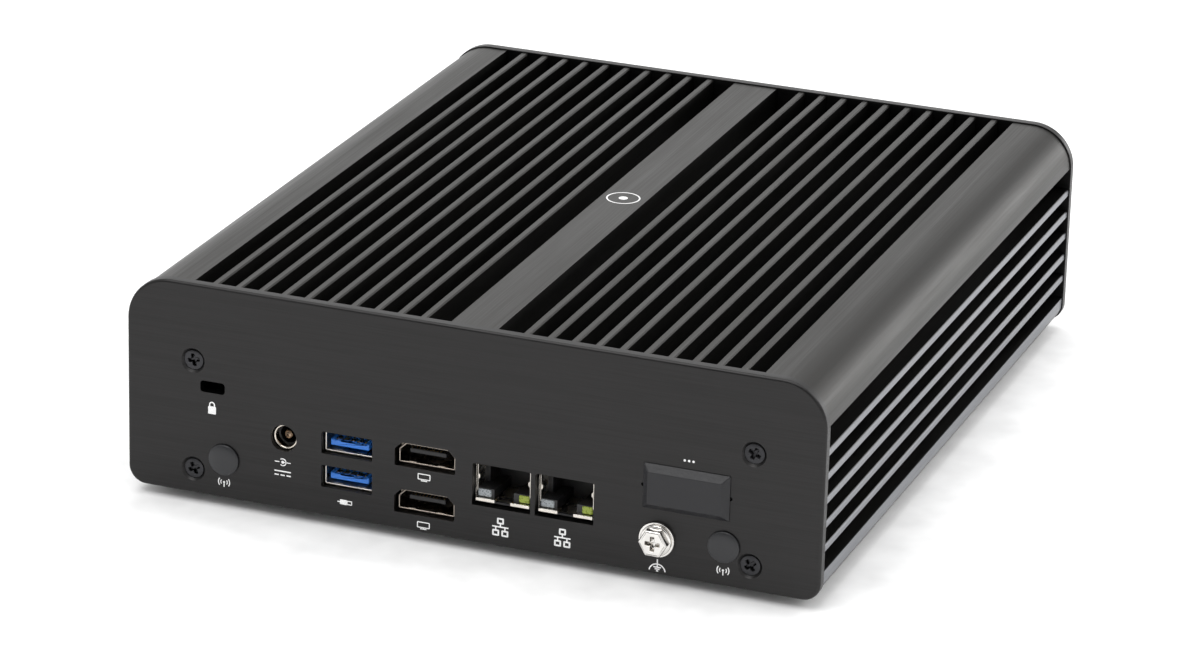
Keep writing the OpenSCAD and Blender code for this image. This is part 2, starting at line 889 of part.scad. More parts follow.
module storage_post() {
    color([0.80, 0.66, 0.35]) on_plan(storage_x, storage_end, board_z - card_drop)
        difference() {
            cylinder(h = card_drop, d = post_d);
            translate([0, 0, -1]) cylinder(h = card_drop, d = post_bore_d);
        }
}

module storage_screw() {
    color([0.72, 0.72, 0.70])
        on_plan(storage_x, storage_end, board_z - card_drop - card_t) difference() {
            union() {
                translate([0, 0, -1]) cylinder(h = 1, d = storage_head_d);
                cylinder(h = card_t, d = storage_collar_d);
                cylinder(h = card_t + storage_grip, d = storage_screw_d);
            }
            translate([0, 0, -1]) mirror([0, 0, 1]) cross_slot(storage_head_d / 2, 0.6);
        }
}

module cell_holder() {
    color([0.10, 0.10, 0.11]) on_plan(cell_x, cell_y, board_z) mirror([0, 0, 1]) difference() {
        cylinder(h = cell_t + holder_floor, d = cell_d + 2 * holder_wall);
        translate([0, 0, holder_floor]) cylinder(h = cell_t + 1, d = cell_d + 2 * hole_play);
        translate([0, cell_d / 2, 1.5 * holder_floor]) slab(holder_notch, holder_notch, cell_t + 1);
    }
}

module coin_cell() {
    color([0.78, 0.78, 0.76]) on_plan(cell_x, cell_y, board_z - holder_floor) mirror([0, 0, 1]) {
        cylinder(h = cell_t - cell_step, d = cell_d);
        cylinder(h = cell_t, d = cell_d - 2 * cell_rim);
    }
}

// Power jack: an insulating body, a metal sleeve and a centre pin
module dc_jack_body() {
    color([0.08, 0.08, 0.08]) on_front(jack_x, jack_z) difference() {
        translate([-jack_w / 2, -jack_w / 2, -panel_t - behind - jack_len])
            cube([jack_w, board_z - jack_z + jack_w / 2, jack_len]);
        translate([0, 0, -panel_t - behind - jack_len + jack_base]) cylinder(h = jack_len, r = jack_r);
    }
}

module dc_jack_sleeve() {
    color([0.78, 0.72, 0.64]) on_front(jack_x, jack_z) difference() {
        translate([0, 0, -mouth_depth - sleeve_len]) cylinder(h = sleeve_len, r = jack_r);
        translate([0, 0, -mouth_depth - sleeve_len + jack_floor])
            cylinder(h = sleeve_len, r = jack_sleeve_in);
    }
}

module dc_jack_pin() {
    color([0.80, 0.62, 0.38]) on_front(jack_x, jack_z)
        translate([0, 0, -mouth_depth - sleeve_len + jack_floor]) {
            cylinder(h = sleeve_len - jack_floor - jack_pin_in, d = jack_pin_d);
            translate([0, 0, sleeve_len - jack_floor - jack_pin_in])
                cylinder(h = jack_pin_tip, d1 = jack_pin_d, d2 = jack_pin_d - jack_pin_taper);
        }
}

// Two sockets in one metal shell that hangs under the board
module usb_stack() {
    low = usb_z - usb_h / 2 - usb_sole;
    difference() {
        union() {
            translate([-usb_w / 2 - usb_rim, low, -panel_t - behind - usb_len])
                cube([usb_w + 2 * usb_rim, board_z - low, usb_len]);
            for (i = [0, 1]) translate([0, usb_z + i * usb_pitch, -panel_t - 1])
                linear_extrude(panel_t + 1 - mouth_depth) square([usb_w, usb_h], center = true);
        }
        for (i = [0, 1]) translate([0, usb_z + i * usb_pitch, -usb_len + socket_floor])
            linear_extrude(usb_len) square([usb_w - 2 * usb_wall, usb_h - 2 * usb_wall], center = true);
    }
}

// Plastic tongues of the two sockets, with their contact side up
module usb_inserts() {
    reach = usb_len - socket_floor - mouth_depth - tongue_back;
    for (i = [0, 1]) translate([0, usb_z + i * usb_pitch, -usb_len + socket_floor]) {
        linear_extrude(tongue_root) square([usb_w - 2 * usb_wall, usb_h - 2 * usb_wall], center = true);
        difference() {
            translate([-tongue_w / 2, -tongue_drop, 0]) cube([tongue_w, tongue_t, reach]);
            for (k = [-2 : 2])
                translate([k * contact_pitch - contact_w / 2, contact_floor, tongue_root])
                    cube([contact_w, 1, reach - tongue_root - contact_tip]);
        }
    }
}

module usb_shell() {
    color([0.76, 0.72, 0.67]) on_front(usb_x) usb_stack();
}

module usb_tongues() {
    color([0.20, 0.47, 0.85]) on_front(usb_x) usb_inserts();
}

module rear_usb_shell() {
    color([0.76, 0.72, 0.67]) on_rear(rear_usb_x) usb_stack();
}

module rear_usb_tongues() {
    color([0.20, 0.47, 0.85]) on_rear(rear_usb_x) usb_inserts();
}

module video_shell() {
    low = video_z - video_h / 2 - video_sole;
    color([0.74, 0.70, 0.65]) on_front(video_x) difference() {
        union() {
            translate([-video_w / 2, low, -panel_t - behind - video_len])
                cube([video_w, board_z - low, video_len]);
            for (i = [0, 1]) translate([0, video_z + i * video_pitch, -panel_t - 1])
                linear_extrude(panel_t + 1 - mouth_depth) video_outline(video_w, video_h, video_bevel);
        }
        for (i = [0, 1]) translate([0, video_z + i * video_pitch, -video_len])
            linear_extrude(video_len + 1) video_mouth();
    }
}

module video_tongues() {
    reach = video_len - mouth_depth - 1;
    color([0.06, 0.06, 0.06]) on_front(video_x) for (i = [0, 1])
        translate([0, video_z + i * video_pitch, -video_len]) {
            linear_extrude(video_root) video_mouth();
            translate([-video_tongue_w / 2, 0, 0]) cube([video_tongue_w, video_tongue_t, reach]);
        }
}

module each_network_jack() {
    for (i = [0, 1]) on_front(net_x + i * net_pitch, net_z) children();
}

// Metal shell of a network jack: its nose fits the panel's opening, the rest stays behind
module network_shells() {
    color([0.74, 0.72, 0.70]) each_network_jack() difference() {
        union() {
            translate([-net_w / 2, 0, -panel_t - behind - net_len]) cube([net_w, net_h, net_len]);
            translate([-net_w / 2, 0, -panel_t - 1]) cube([net_w, net_visible, panel_t + 1 + net_front]);
        }
        translate([-net_w / 2 + net_wall, net_wall, -panel_t - behind - net_len + net_wall])
            cube([net_w - 2 * net_wall, net_h - 2 * net_wall, net_len - net_wall]);
        translate([-net_w / 2 + net_wall, net_wall, -panel_t - 1.5])
            cube([net_w - 2 * net_wall, net_visible - 2 * net_wall, panel_t + 2]);
        translate([-latch_w / 2, -1, -panel_t - 0.1]) cube([latch_w, 2, panel_t + 1]);
    }
}

// Black housing of a network jack, with the plug's cavity, the latch slot and two seats
// for the indicator windows
module network_inserts() {
    inner_w = net_w - 2 * net_wall;
    front = net_front - net_lip;
    color([0.05, 0.05, 0.05]) each_network_jack() difference() {
        union() {
            translate([-inner_w / 2, net_wall, -panel_t - behind - net_len + net_wall])
                cube([inner_w, net_h - 2 * net_wall, net_len - net_wall]);
            translate([-inner_w / 2, net_wall, -panel_t - 1])
                cube([inner_w, net_visible - 2 * net_wall, panel_t + 1 + front]);
        }
        translate([-net_plug_w / 2, net_plug_low, -net_plug_len])
            cube([net_plug_w, net_plug_h, net_plug_len + 1]);
        translate([-latch_w / 2, 0, -net_plug_len]) cube([latch_w, net_plug_low + 1, net_plug_len + 1]);
        for (s = [-1, 1])
            translate([s * (inner_w - window_w) / 2 - window_w / 2, net_wall, front - window_in])
                cube([window_w, window_h, 2]);
    }
}

module indicator_window(side) {
    inner_w = net_w - 2 * net_wall;
    front = net_front - net_lip;
    translate([side * (inner_w - window_w) / 2 - window_w / 2, net_wall, front - window_in])
        cube([window_w, window_h, window_in]);
}

module activity_windows() {
    color([0.80, 0.82, 0.84]) each_network_jack() indicator_window(-1);
}

module link_windows() {
    color([0.72, 0.78, 0.25]) each_network_jack() indicator_window(1);
}

// Bevelled cover of the unused service opening, held by four inner walls
module service_cover() {
    inner_w = service_w - 2 * service_rim - 2 * service_play;
    inner_h = service_h - service_rim - 2 * service_play;
    color([0.19, 0.19, 0.195]) on_front(service_x, service_z) translate([0, 0, seat_gap]) {
        hull() {
            slab(service_w, service_h, service_skirt);
            slab(service_w - 2 * service_bevel, service_h - 2 * service_bevel, service_out - seat_gap);
        }
        difference() {
            translate([0, 0, -service_legs]) slab(inner_w, inner_h, service_legs);
            translate([0, 0, -service_legs - 1])
                slab(inner_w - 2 * service_wall, inner_h - 2 * service_wall, service_legs + 1 - eps);
        }
    }
}

// Rubber plug of an antenna hole: a low domed head on a stem
module antenna_plug() {
    translate([0, 0, seat_gap]) {
        cylinder(h = plug_out - plug_edge - seat_gap, d = plug_d);
        translate([0, 0, plug_out - plug_edge - seat_gap])
            cylinder(h = plug_edge, d1 = plug_d, d2 = plug_d - 3 * plug_edge);
        translate([0, 0, -plug_stem_len]) cylinder(h = plug_stem_len, d = antenna_d - 2 * plug_play);
    }
}

module antenna_plug_left() {
    color([0.24, 0.245, 0.255]) on_front(antenna_left_x, antenna_z) antenna_plug();
}

module antenna_plug_right() {
    color([0.24, 0.245, 0.255]) on_front(antenna_right_x, antenna_z) antenna_plug();
}

// Flanged hexagon screw with a cross recess
module earth_screw() {
    color([0.85, 0.84, 0.81]) on_front(earth_x, earth_z) translate([0, 0, earth_washer_t]) difference() {
        union() {
            cylinder(h = earth_flange_t, d = earth_washer_d - 2 * earth_flange_rim);
            intersection() {
                cylinder(h = earth_flange_t + earth_head_t, d = earth_af / cos(30), $fn = 6);
                cylinder(h = earth_flange_t + earth_head_t, d1 = earth_af * 1.9, d2 = earth_af * 1.02);
            }
            translate([0, 0, -earth_len]) cylinder(h = earth_len, d = earth_d);
        }
        translate([0, 0, earth_flange_t + earth_head_t]) cross_slot(earth_cross, earth_cross_depth);
    }
}

module earth_washer() {
    color([0.85, 0.84, 0.81]) on_front(earth_x, earth_z) difference() {
        translate([0, 0, seat_gap]) cylinder(h = earth_washer_t - 2 * seat_gap, d = earth_washer_d);
        translate([0, 0, -1]) cylinder(h = 4, d = earth_d + 2 * washer_play);
    }
}

// Threaded insert pressed into the panel from behind
module earth_insert() {
    color([0.75, 0.75, 0.73]) on_front(earth_x, earth_z) difference() {
        union() {
            translate([0, 0, -panel_t]) cylinder(h = panel_t, d = earth_d + 2 * insert_wall);
            translate([0, 0, -panel_t - insert_flange_t])
                cylinder(h = insert_flange_t, d = earth_d + 2 * insert_wall + 2 * insert_rim);
        }
        translate([0, 0, -panel_t - 4]) cylinder(h = panel_t + 5, r = earth_d / 2 + earth_play);
    }
}

// Power button: a flanged barrel through the rear panel
module button_body() {
    color([0.62, 0.62, 0.63]) on_rear(button_x, button_z) difference() {
        union() {
            cylinder(h = bezel_t - bezel_edge, d = bezel_d);
            translate([0, 0, bezel_t - bezel_edge])
                cylinder(h = bezel_edge, d1 = bezel_d, d2 = bezel_d - 2 * bezel_edge);
            translate([0, 0, -barrel_len]) cylinder(h = barrel_len, d = barrel_d);
        }
        translate([0, 0, bezel_t - ring_sink]) cylinder(h = 2, d = cap_d + 2 * cap_play + 2 * ring_w);
        translate([0, 0, -cap_seat]) cylinder(h = cap_seat + 3, d = cap_d + 2 * cap_play);
        translate([0, 0, -barrel_len - 1]) cylinder(h = barrel_len, d = stem_d + 2 * cap_play);
    }
}

module button_cap() {
    color([0.70, 0.70, 0.71]) on_rear(button_x, button_z) {
        translate([0, 0, cap_under]) cylinder(h = cap_t, d = cap_d);
        translate([0, 0, -cap_seat - stem_out])
            cylinder(h = cap_under + cap_seat + stem_out + eps, d = stem_d);
    }
}

// Coil spring around the stem: eight-sided wire swept along a helix, with flat ends
module button_spring() {
    rise = cap_under + cap_seat - spring_wire;
    points = [
        for (i = [0 : coil_steps], k = [0 : coil_sides - 1])
            let (turn = 360 * spring_turns * i / coil_steps, side = 360 * k / coil_sides)
            let (r = spring_r + spring_wire / 2 * cos(side))
            [r * cos(turn), r * sin(turn), spring_wire / 2 * (1 + sin(side)) + rise * i / coil_steps]
    ];
    walls = [
        for (i = [0 : coil_steps - 1], k = [0 : coil_sides - 1])
            let (next = (k + 1) % coil_sides)
            let (a = i * coil_sides, b = a + coil_sides)
            [a + k, b + k, b + next, a + next]
    ];
    first = [for (k = [0 : coil_sides - 1]) k];
    last = [for (k = [coil_sides - 1 : -1 : 0]) coil_steps * coil_sides + k];
    color([0.7, 0.7, 0.7]) on_rear(button_x, button_z) translate([0, 0, -cap_seat])
        polyhedron(points = points, faces = concat(walls, [first, last]));
}

module button_nut() {
    color([0.72, 0.72, 0.70]) on_rear(button_x, button_z) translate([0, 0, -panel_t - nut_t]) difference() {
        cylinder(h = nut_t, d = nut_af / cos(30), $fn = 6);
        translate([0, 0, -1]) cylinder(h = nut_t + 2, d = barrel_d);
    }
}

module button_ring() {
    color([0.55, 0.75, 0.90]) on_rear(button_x, button_z) translate([0, 0, bezel_t - ring_sink])
        difference() {
            cylinder(h = ring_t, d = cap_d + 2 * cap_play + 2 * ring_w);
            translate([0, 0, -1]) cylinder(h = 3, d = cap_d + 2 * cap_play);
        }
}

module light_pipes() {
    color([0.85, 0.87, 0.88]) for (x = light_x) on_rear(x, light_z) {
        translate([0, 0, -pipe_len]) cylinder(h = pipe_len, d = light_d);
        translate([0, 0, -panel_t - pipe_flange_t])
            cylinder(h = pipe_flange_t, d = light_d + 2 * pipe_flange_rim);
    }
}

chassis();
io_panel();
rear_panel();
bottom_cover();
io_panel_screws();
rear_panel_screws();
cover_screws();
feet();
mount_nuts();
main_board();
board_standoffs();
board_screws();
processor();
processor_dies();
thermal_pad();
heat_spreader();
spreader_screws();
power_inductors();
capacitors();
power_transistors();
network_controllers();
memory_sockets();
memory_modules();
storage_socket();
storage_module();
storage_post();
storage_screw();
expansion_socket();
cell_holder();
coin_cell();
dc_jack_body();
dc_jack_sleeve();
dc_jack_pin();
usb_shell();
usb_tongues();
video_shell();
video_tongues();
network_shells();
network_inserts();
activity_windows();
link_windows();
service_cover();
antenna_plug_left();
antenna_plug_right();
earth_screw();
earth_washer();
earth_insert();
button_body();
button_cap();
button_spring();
button_nut();
button_ring();
light_pipes();
rear_usb_shell();
rear_usb_tongues();
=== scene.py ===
"""Looks of a fanless mini computer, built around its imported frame.

Every piece is modelled in millimetres in the flat frame of the face that it sits on: x across,
y up and z out of the face. The places come from the frame and from the record's mounts.
"""

import json
import math

import bpy
from mathutils import Matrix, Vector
from mathutils.geometry import tessellate_polygon


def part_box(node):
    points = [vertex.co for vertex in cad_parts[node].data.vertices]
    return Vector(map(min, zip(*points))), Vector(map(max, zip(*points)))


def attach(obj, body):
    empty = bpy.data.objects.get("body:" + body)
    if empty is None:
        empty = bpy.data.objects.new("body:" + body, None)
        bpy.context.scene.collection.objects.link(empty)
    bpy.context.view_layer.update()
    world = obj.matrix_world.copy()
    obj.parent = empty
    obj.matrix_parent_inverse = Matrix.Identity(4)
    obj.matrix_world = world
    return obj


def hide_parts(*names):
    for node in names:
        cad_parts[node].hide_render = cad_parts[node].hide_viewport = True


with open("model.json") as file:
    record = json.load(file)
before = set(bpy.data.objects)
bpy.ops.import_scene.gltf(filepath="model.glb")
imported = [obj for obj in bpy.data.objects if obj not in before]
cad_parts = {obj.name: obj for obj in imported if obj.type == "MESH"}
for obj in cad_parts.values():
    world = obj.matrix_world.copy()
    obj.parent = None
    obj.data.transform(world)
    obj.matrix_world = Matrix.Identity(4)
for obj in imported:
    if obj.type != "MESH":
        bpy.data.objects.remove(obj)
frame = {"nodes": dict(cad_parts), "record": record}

bl_info = {
    "name": "Mini computer finishes",
    "version": (1, 0, 0),
    "blender": (4, 5, 0),
    "location": "3D View > Sidebar > Mini computer",
    "description": "Builds the detailed panels, sockets, screws and finishes of a mini computer",
    "category": "Object",
}

MM = 0.001
# Edges sharper than this stay sharp.
CREASE = math.radians(38)
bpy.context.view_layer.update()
SPOT = {mount["name"]: Vector(mount["pos_m"]) for mount in frame["record"]["mounts"]}
FRONT_LO, FRONT_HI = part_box("io_panel")
REAR_LO, REAR_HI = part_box("rear_panel")
ROOF_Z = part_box("chassis")[1].z


# ---------------------------------------------------------------- sizes and colours

def length(name, description, default):
    """A size in millimetres."""
    return bpy.props.FloatProperty(
        name=name, description=description, default=default, min=0.0, precision=3
    )


def tint(name, description, default):
    """A colour, in linear light."""
    return bpy.props.FloatVectorProperty(
        name=name, description=description, default=default, subtype="COLOR", min=0.0, max=1.0
    )


class CaseSizes(bpy.types.PropertyGroup):
    """Sizes of the case's visible details, in millimetres."""

    top_radius: length("Upper corners", "Radius of the panels' upper corners", 12.5)
    bottom_radius: length("Lower corners", "Radius of the panels' lower corners", 5.0)
    rounding: length("Panel rounding", "Radius around the front of each end panel", 0.8)
    softening: length("Hole softening", "Radius at the rim of each opening", 0.18)
    head: length("Screw head", "Diameter of the case screws' heads", 5.6)
    thread: length("Screw thread", "Diameter of the case screws' threads", 3.0)
    sink: length("Screw sink", "How far the screw heads lie below the face", 0.45)
    mouth: length("Mouth depth", "How far the sockets' mouths lie behind the face", 1.4)
    ink: length("Ink thickness", "Thickness of the printed marks", 0.03)
    stroke: length("Stroke", "Width of a line of the printed marks", 0.3)


class CaseColours(bpy.types.PropertyGroup):
    """Colours of the finishes."""

    case: tint("Case", "Black anodised aluminium of the finned case", (0.0345, 0.0333, 0.0315))
    panel: tint("Panel", "Black anodised aluminium of the end panels", (0.036, 0.0353, 0.0353))
    screws: tint("Screws", "Blackened steel of the screws", (0.046, 0.046, 0.049))
    nickel: tint("Nickel", "Nickel-plated sockets", (0.74, 0.70, 0.64))
    bright: tint("Bright nickel", "Polished nickel of the earthing screw", (0.78, 0.76, 0.73))
    gold: tint("Gold", "Plated contacts", (0.83, 0.60, 0.27))
    blue: tint("Blue", "Blue nylon of the serial sockets", (0.022, 0.17, 0.62))
    nylon: tint("Nylon", "Black nylon inside the sockets", (0.008, 0.008, 0.009))
    cover: tint("Cover", "Black plastic of the service cover", (0.010, 0.010, 0.012))
    plugs: tint("Plugs", "Rubber of the antenna plugs", (0.013, 0.0135, 0.0155))
    ink: tint("Ink", "White printed marks", (0.80, 0.80, 0.80))
    floor: tint("Floor", "Pale floor", (0.93, 0.93, 0.93))


class StudioSettings(bpy.types.PropertyGroup):
    """Camera and lights."""

    lens: bpy.props.FloatProperty(
        name="Lens", description="Focal length", default=150.109, unit="CAMERA"
    )
    distance: bpy.props.FloatProperty(
        name="Distance", description="From the camera to its aim", default=1.40835, unit="LENGTH"
    )
    azimuth: bpy.props.FloatProperty(
        name="Azimuth", description="Direction of the camera", subtype="ANGLE",
        default=math.radians(20.431),
    )
    elevation: bpy.props.FloatProperty(
        name="Elevation", description="Height of the camera above the horizon",
        subtype="ANGLE", default=math.radians(20.921),
    )
    roll: bpy.props.FloatProperty(
        name="Roll", description="Turn of the camera about its axis", subtype="ANGLE",
        default=math.radians(1.574),
    )
    aim: bpy.props.FloatVectorProperty(
        name="Aim", description="Point that the camera looks at", subtype="XYZ", unit="LENGTH",
        default=(-0.0039, -0.00503, 0.02423),
    )
    sky: bpy.props.FloatProperty(
        name="Sky", description="Strength of the even light from all around", default=0.88
    )


def sizes():
    """Sizes of the scene's mini computer."""
    return bpy.context.scene.mini_computer_sizes


def colours():
    """Colours of the scene's mini computer."""
    return bpy.context.scene.mini_computer_colours


# ---------------------------------------------------------------- outlines

def ring(radius, steps=48):
    """Circle as an anticlockwise outline."""
    return [
        Vector((math.cos(turn), math.sin(turn))) * radius
        for turn in (math.tau * i / steps for i in range(steps))
    ]


def rounded(corners, radii, steps=5):
    """Closed anticlockwise outline through the corners, each with its own radius."""
    points = []
    for i, radius in enumerate(radii):
        here = Vector(corners[i])
        before = (Vector(corners[i - 1]) - here).normalized()
        after = (Vector(corners[(i + 1) % len(corners)]) - here).normalized()
        half = before.angle(after) / 2
        centre = here + (before + after).normalized() * (radius / math.sin(half))
        start = here + before * (radius / math.tan(half)) - centre
        swing = math.copysign(math.pi - 2 * half, before.cross(after) * -1)
        for k in range(steps + 1):
            turn = Matrix.Rotation(swing * k / steps, 2)
            points.append(centre + turn @ start)
    return points


def panel_shape(width, height, radius, steps=5):
    """Rectangle with equal rounded corners, centred."""
    x, y = width / 2, height / 2
    return rounded([(-x, -y), (x, -y), (x, y), (-x, y)], [radius] * 4, steps)


def cross_shape(size, arm):
    """Cross of a screw's recess."""
    a, b = arm / 2, size / 2
    corners, radii = [], []
    for turn in range(4):
        spin = Matrix.Rotation(turn * math.pi / 2, 2)
        for point, radius in (((b, -a), 0.3 * a), ((b, a), 0.3 * a), ((a, a), 0.35 * a)):
            corners.append(spin @ Vector(point))
            radii.append(radius)
    return rounded(corners, radii, 3)


def moved(outline, x=0.0, y=0.0, turn=0.0):
    """Outline turned about its origin and then shifted."""
    spin = Matrix.Rotation(turn, 2)
    return [spin @ point + Vector((x, y)) for point in outline]


def grown(outline, by):
    """Outline moved outwards by the same distance all along."""
    out = []
    for i, here in enumerate(outline):
        before = (here - outline[i - 1]).normalized()
        after = (outline[(i + 1) % len(outline)] - here).normalized()
        normal = Vector((before.y + after.y, -before.x - after.x))
        out.append(here + normal * (2 * by / normal.length_squared))
    return out


def quarter(radius, steps=5):
    """Steps of a quarter round, as pairs of how far in and how far down."""
    turns = [math.pi / 2 * i / steps for i in range(steps + 1)]
    return [(radius * (1 - math.cos(turn)), radius * (1 - math.sin(turn))) for turn in turns]


def bend(radius, start, end, steps, x=0.0, y=0.0, tall=None):
    """Points of an arc around (x, y), with its start and end in quarter turns. An arc that is
    taller or flatter than a circle has its own height."""
    tall = radius if tall is None else tall
    turns = [math.pi / 2 * (start + (end - start) * k / steps) for k in range(steps + 1)]
    return [(x + radius * math.cos(turn), y + tall * math.sin(turn)) for turn in turns]


# ---------------------------------------------------------------- meshes

class Shell:
    """Points and faces of one piece. A path runs up an outer wall, in over the top and down an
    inner wall, so that every face looks outwards."""

    def __init__(self):
        self.points, self.faces, self.paints = [], [], []
        self.paint = 0

    def face(self, *corners):
        self.faces.append(corners)
        self.paints.append(self.paint)

    def loop(self, outline, z):
        first = len(self.points)
        self.points.extend((point[0], point[1], z) for point in outline)
        return list(range(first, first + len(outline)))

    def strip(self, low, high):
        for i, here in enumerate(low):
            k = (i + 1) % len(low)
            self.face(here, low[k], high[k], high[i])

    def path(self, outline, stations, closed=False):
        """Walls through stations of growth and height. Returns the first and last loop."""
        loops = [self.loop(grown(outline, by) if by else outline, z) for by, z in stations]
        if closed:
            loops.append(loops[0])
        for low, high in zip(loops, loops[1:]):
            self.strip(low, high)
        return loops[0], loops[-1]

    def cap(self, *loops, up=True):
        """Flat face over the first loop, with the others as holes in it."""
        if len(loops) == 1:
            self.face(*(loops[0] if up else reversed(loops[0])))
            return
        flat = [i for loop in loops for i in loop]
        sheets = [[Vector(self.points[i]) for i in loop] for loop in loops]
        for a, b, c in tessellate_polygon(sheets):
            a, b, c = flat[a], flat[b], flat[c]
            p, q, r = (Vector(self.points[i]).to_2d() for i in (a, b, c))
            turn = (q - p).cross(r - p)
            if turn:
                self.face(*((a, b, c) if (turn > 0) == up else (a, c, b)))

    def block(self, outline, low, high, soft=0.0, steps=3):
        """Closed prism, with its upper rim rounded."""
        stations = [(0, low)] + [(-inset, high - drop) for inset, drop in quarter(soft, steps)]
        if not soft:
            stations = [(0, low), (0, high)]
        first, last = self.path(outline, stations)
        self.cap(first, up=False)
        self.cap(last)

    def lathe(self, profile, x=0.0, y=0.0, steps=48, closed=False):
        """Turned piece, from pairs of radius and height. An end at radius 0 is closed."""
        loops = [
            self.loop(moved(ring(max(radius, 0.001), steps), x, y), z) for radius, z in profile
        ]
        if closed:
            loops.append(loops[0])
        for low, high in zip(loops, loops[1:]):
            self.strip(low, high)
        if not closed:
            self.cap(loops[0], up=False)
            self.cap(loops[-1])

    def stroke(self, points, width, low, high):
        """Printed line of even width through the points, as a thin closed prism."""
        flat = [Vector(point) for point in points]
        left, right = [], []
        for i, here in enumerate(flat):
            ahead = (flat[min(i + 1, len(flat) - 1)] - here).normalized()
            behind = (here - flat[max(i - 1, 0)]).normalized()
            along = ahead + behind
            side = Vector((-along.y, along.x)).normalized()
            reach = width / 2
            if ahead.length and behind.length:
                reach /= max(0.5, math.sqrt((1 + ahead.dot(behind)) / 2))
            left.append(here + side * reach)
            right.append(here - side * reach)
        self.block(right + left[::-1], low, high)

    def band(self, outline, width, low, high):
        """Closed printed line along an outline."""
        self.path(
            outline,
            [(width / 2, low), (width / 2, high), (-width / 2, high), (-width / 2, low)],
            closed=True,
        )


def on_front(x=0.0, z=0.0):
    """Face of the connector panel, at a point in metres."""
    return Matrix.Translation((x, FRONT_LO.y, z)) @ Matrix(
        ((1, 0, 0, 0), (0, 0, -1, 0), (0, 1, 0, 0), (0, 0, 0, 1))
    )


def on_rear(x=0.0, z=0.0):
    """Face of the rear panel, as seen from behind."""
    return Matrix.Translation((x, REAR_HI.y, z)) @ Matrix(
        ((-1, 0, 0, 0), (0, 0, 1, 0), (0, 1, 0, 0), (0, 0, 0, 1))
    )


def on_roof(x=0.0, y=0.0, z=0.0):
    """A face that looks up."""
    return Matrix.Translation((x, y, z))


def under(x=0.0, y=0.0, z=0.0):
    """A face that looks down."""
    return Matrix.Translation((x, y, z)) @ Matrix.Rotation(math.pi, 4, "X")


def make(name, shell, place, *finishes, body="case", slot=None, replaces=()):
    """Makes the object of a shell, with smooth faces and sharp creases, riding on its body."""
    mesh = bpy.data.meshes.new(name)
    points = [place @ (Vector(point) * MM) for point in shell.points]
    mesh.from_pydata(points, [], shell.faces)
    for finish in finishes:
        mesh.materials.append(finish_of(finish))
    mesh.polygons.foreach_set("material_index", shell.paints)
    mesh.polygons.foreach_set("use_smooth", [True] * len(mesh.polygons))
    mesh.set_sharp_from_angle(angle=CREASE)
    mesh.update()
    piece = bpy.data.objects.new(name, mesh)
    bpy.context.scene.collection.objects.link(piece)
    weighted = piece.modifiers.new("Even shading", "WEIGHTED_NORMAL")
    weighted.keep_sharp = True
    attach(piece, body)
    if replaces:
        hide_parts(*replaces)
    return piece


# ---------------------------------------------------------------- finishes

class Value:
    """A shader socket that plain maths can be done with."""

    def __init__(self, finish, socket):
        self.finish, self.socket = finish, socket

    def _maths(self, operation, first, second):
        return self.finish.node("ShaderNodeMath", {"operation": operation}, {0: first, 1: second})

    def __add__(self, other):
        return self._maths("ADD", self, other)

    __radd__ = __add__

    def __rsub__(self, other):
        return self._maths("SUBTRACT", other, self)

    def __mul__(self, other):
        return self._maths("MULTIPLY", self, other)

    __rmul__ = __mul__

    def __abs__(self):
        return self._maths("ABSOLUTE", self, 0.0)


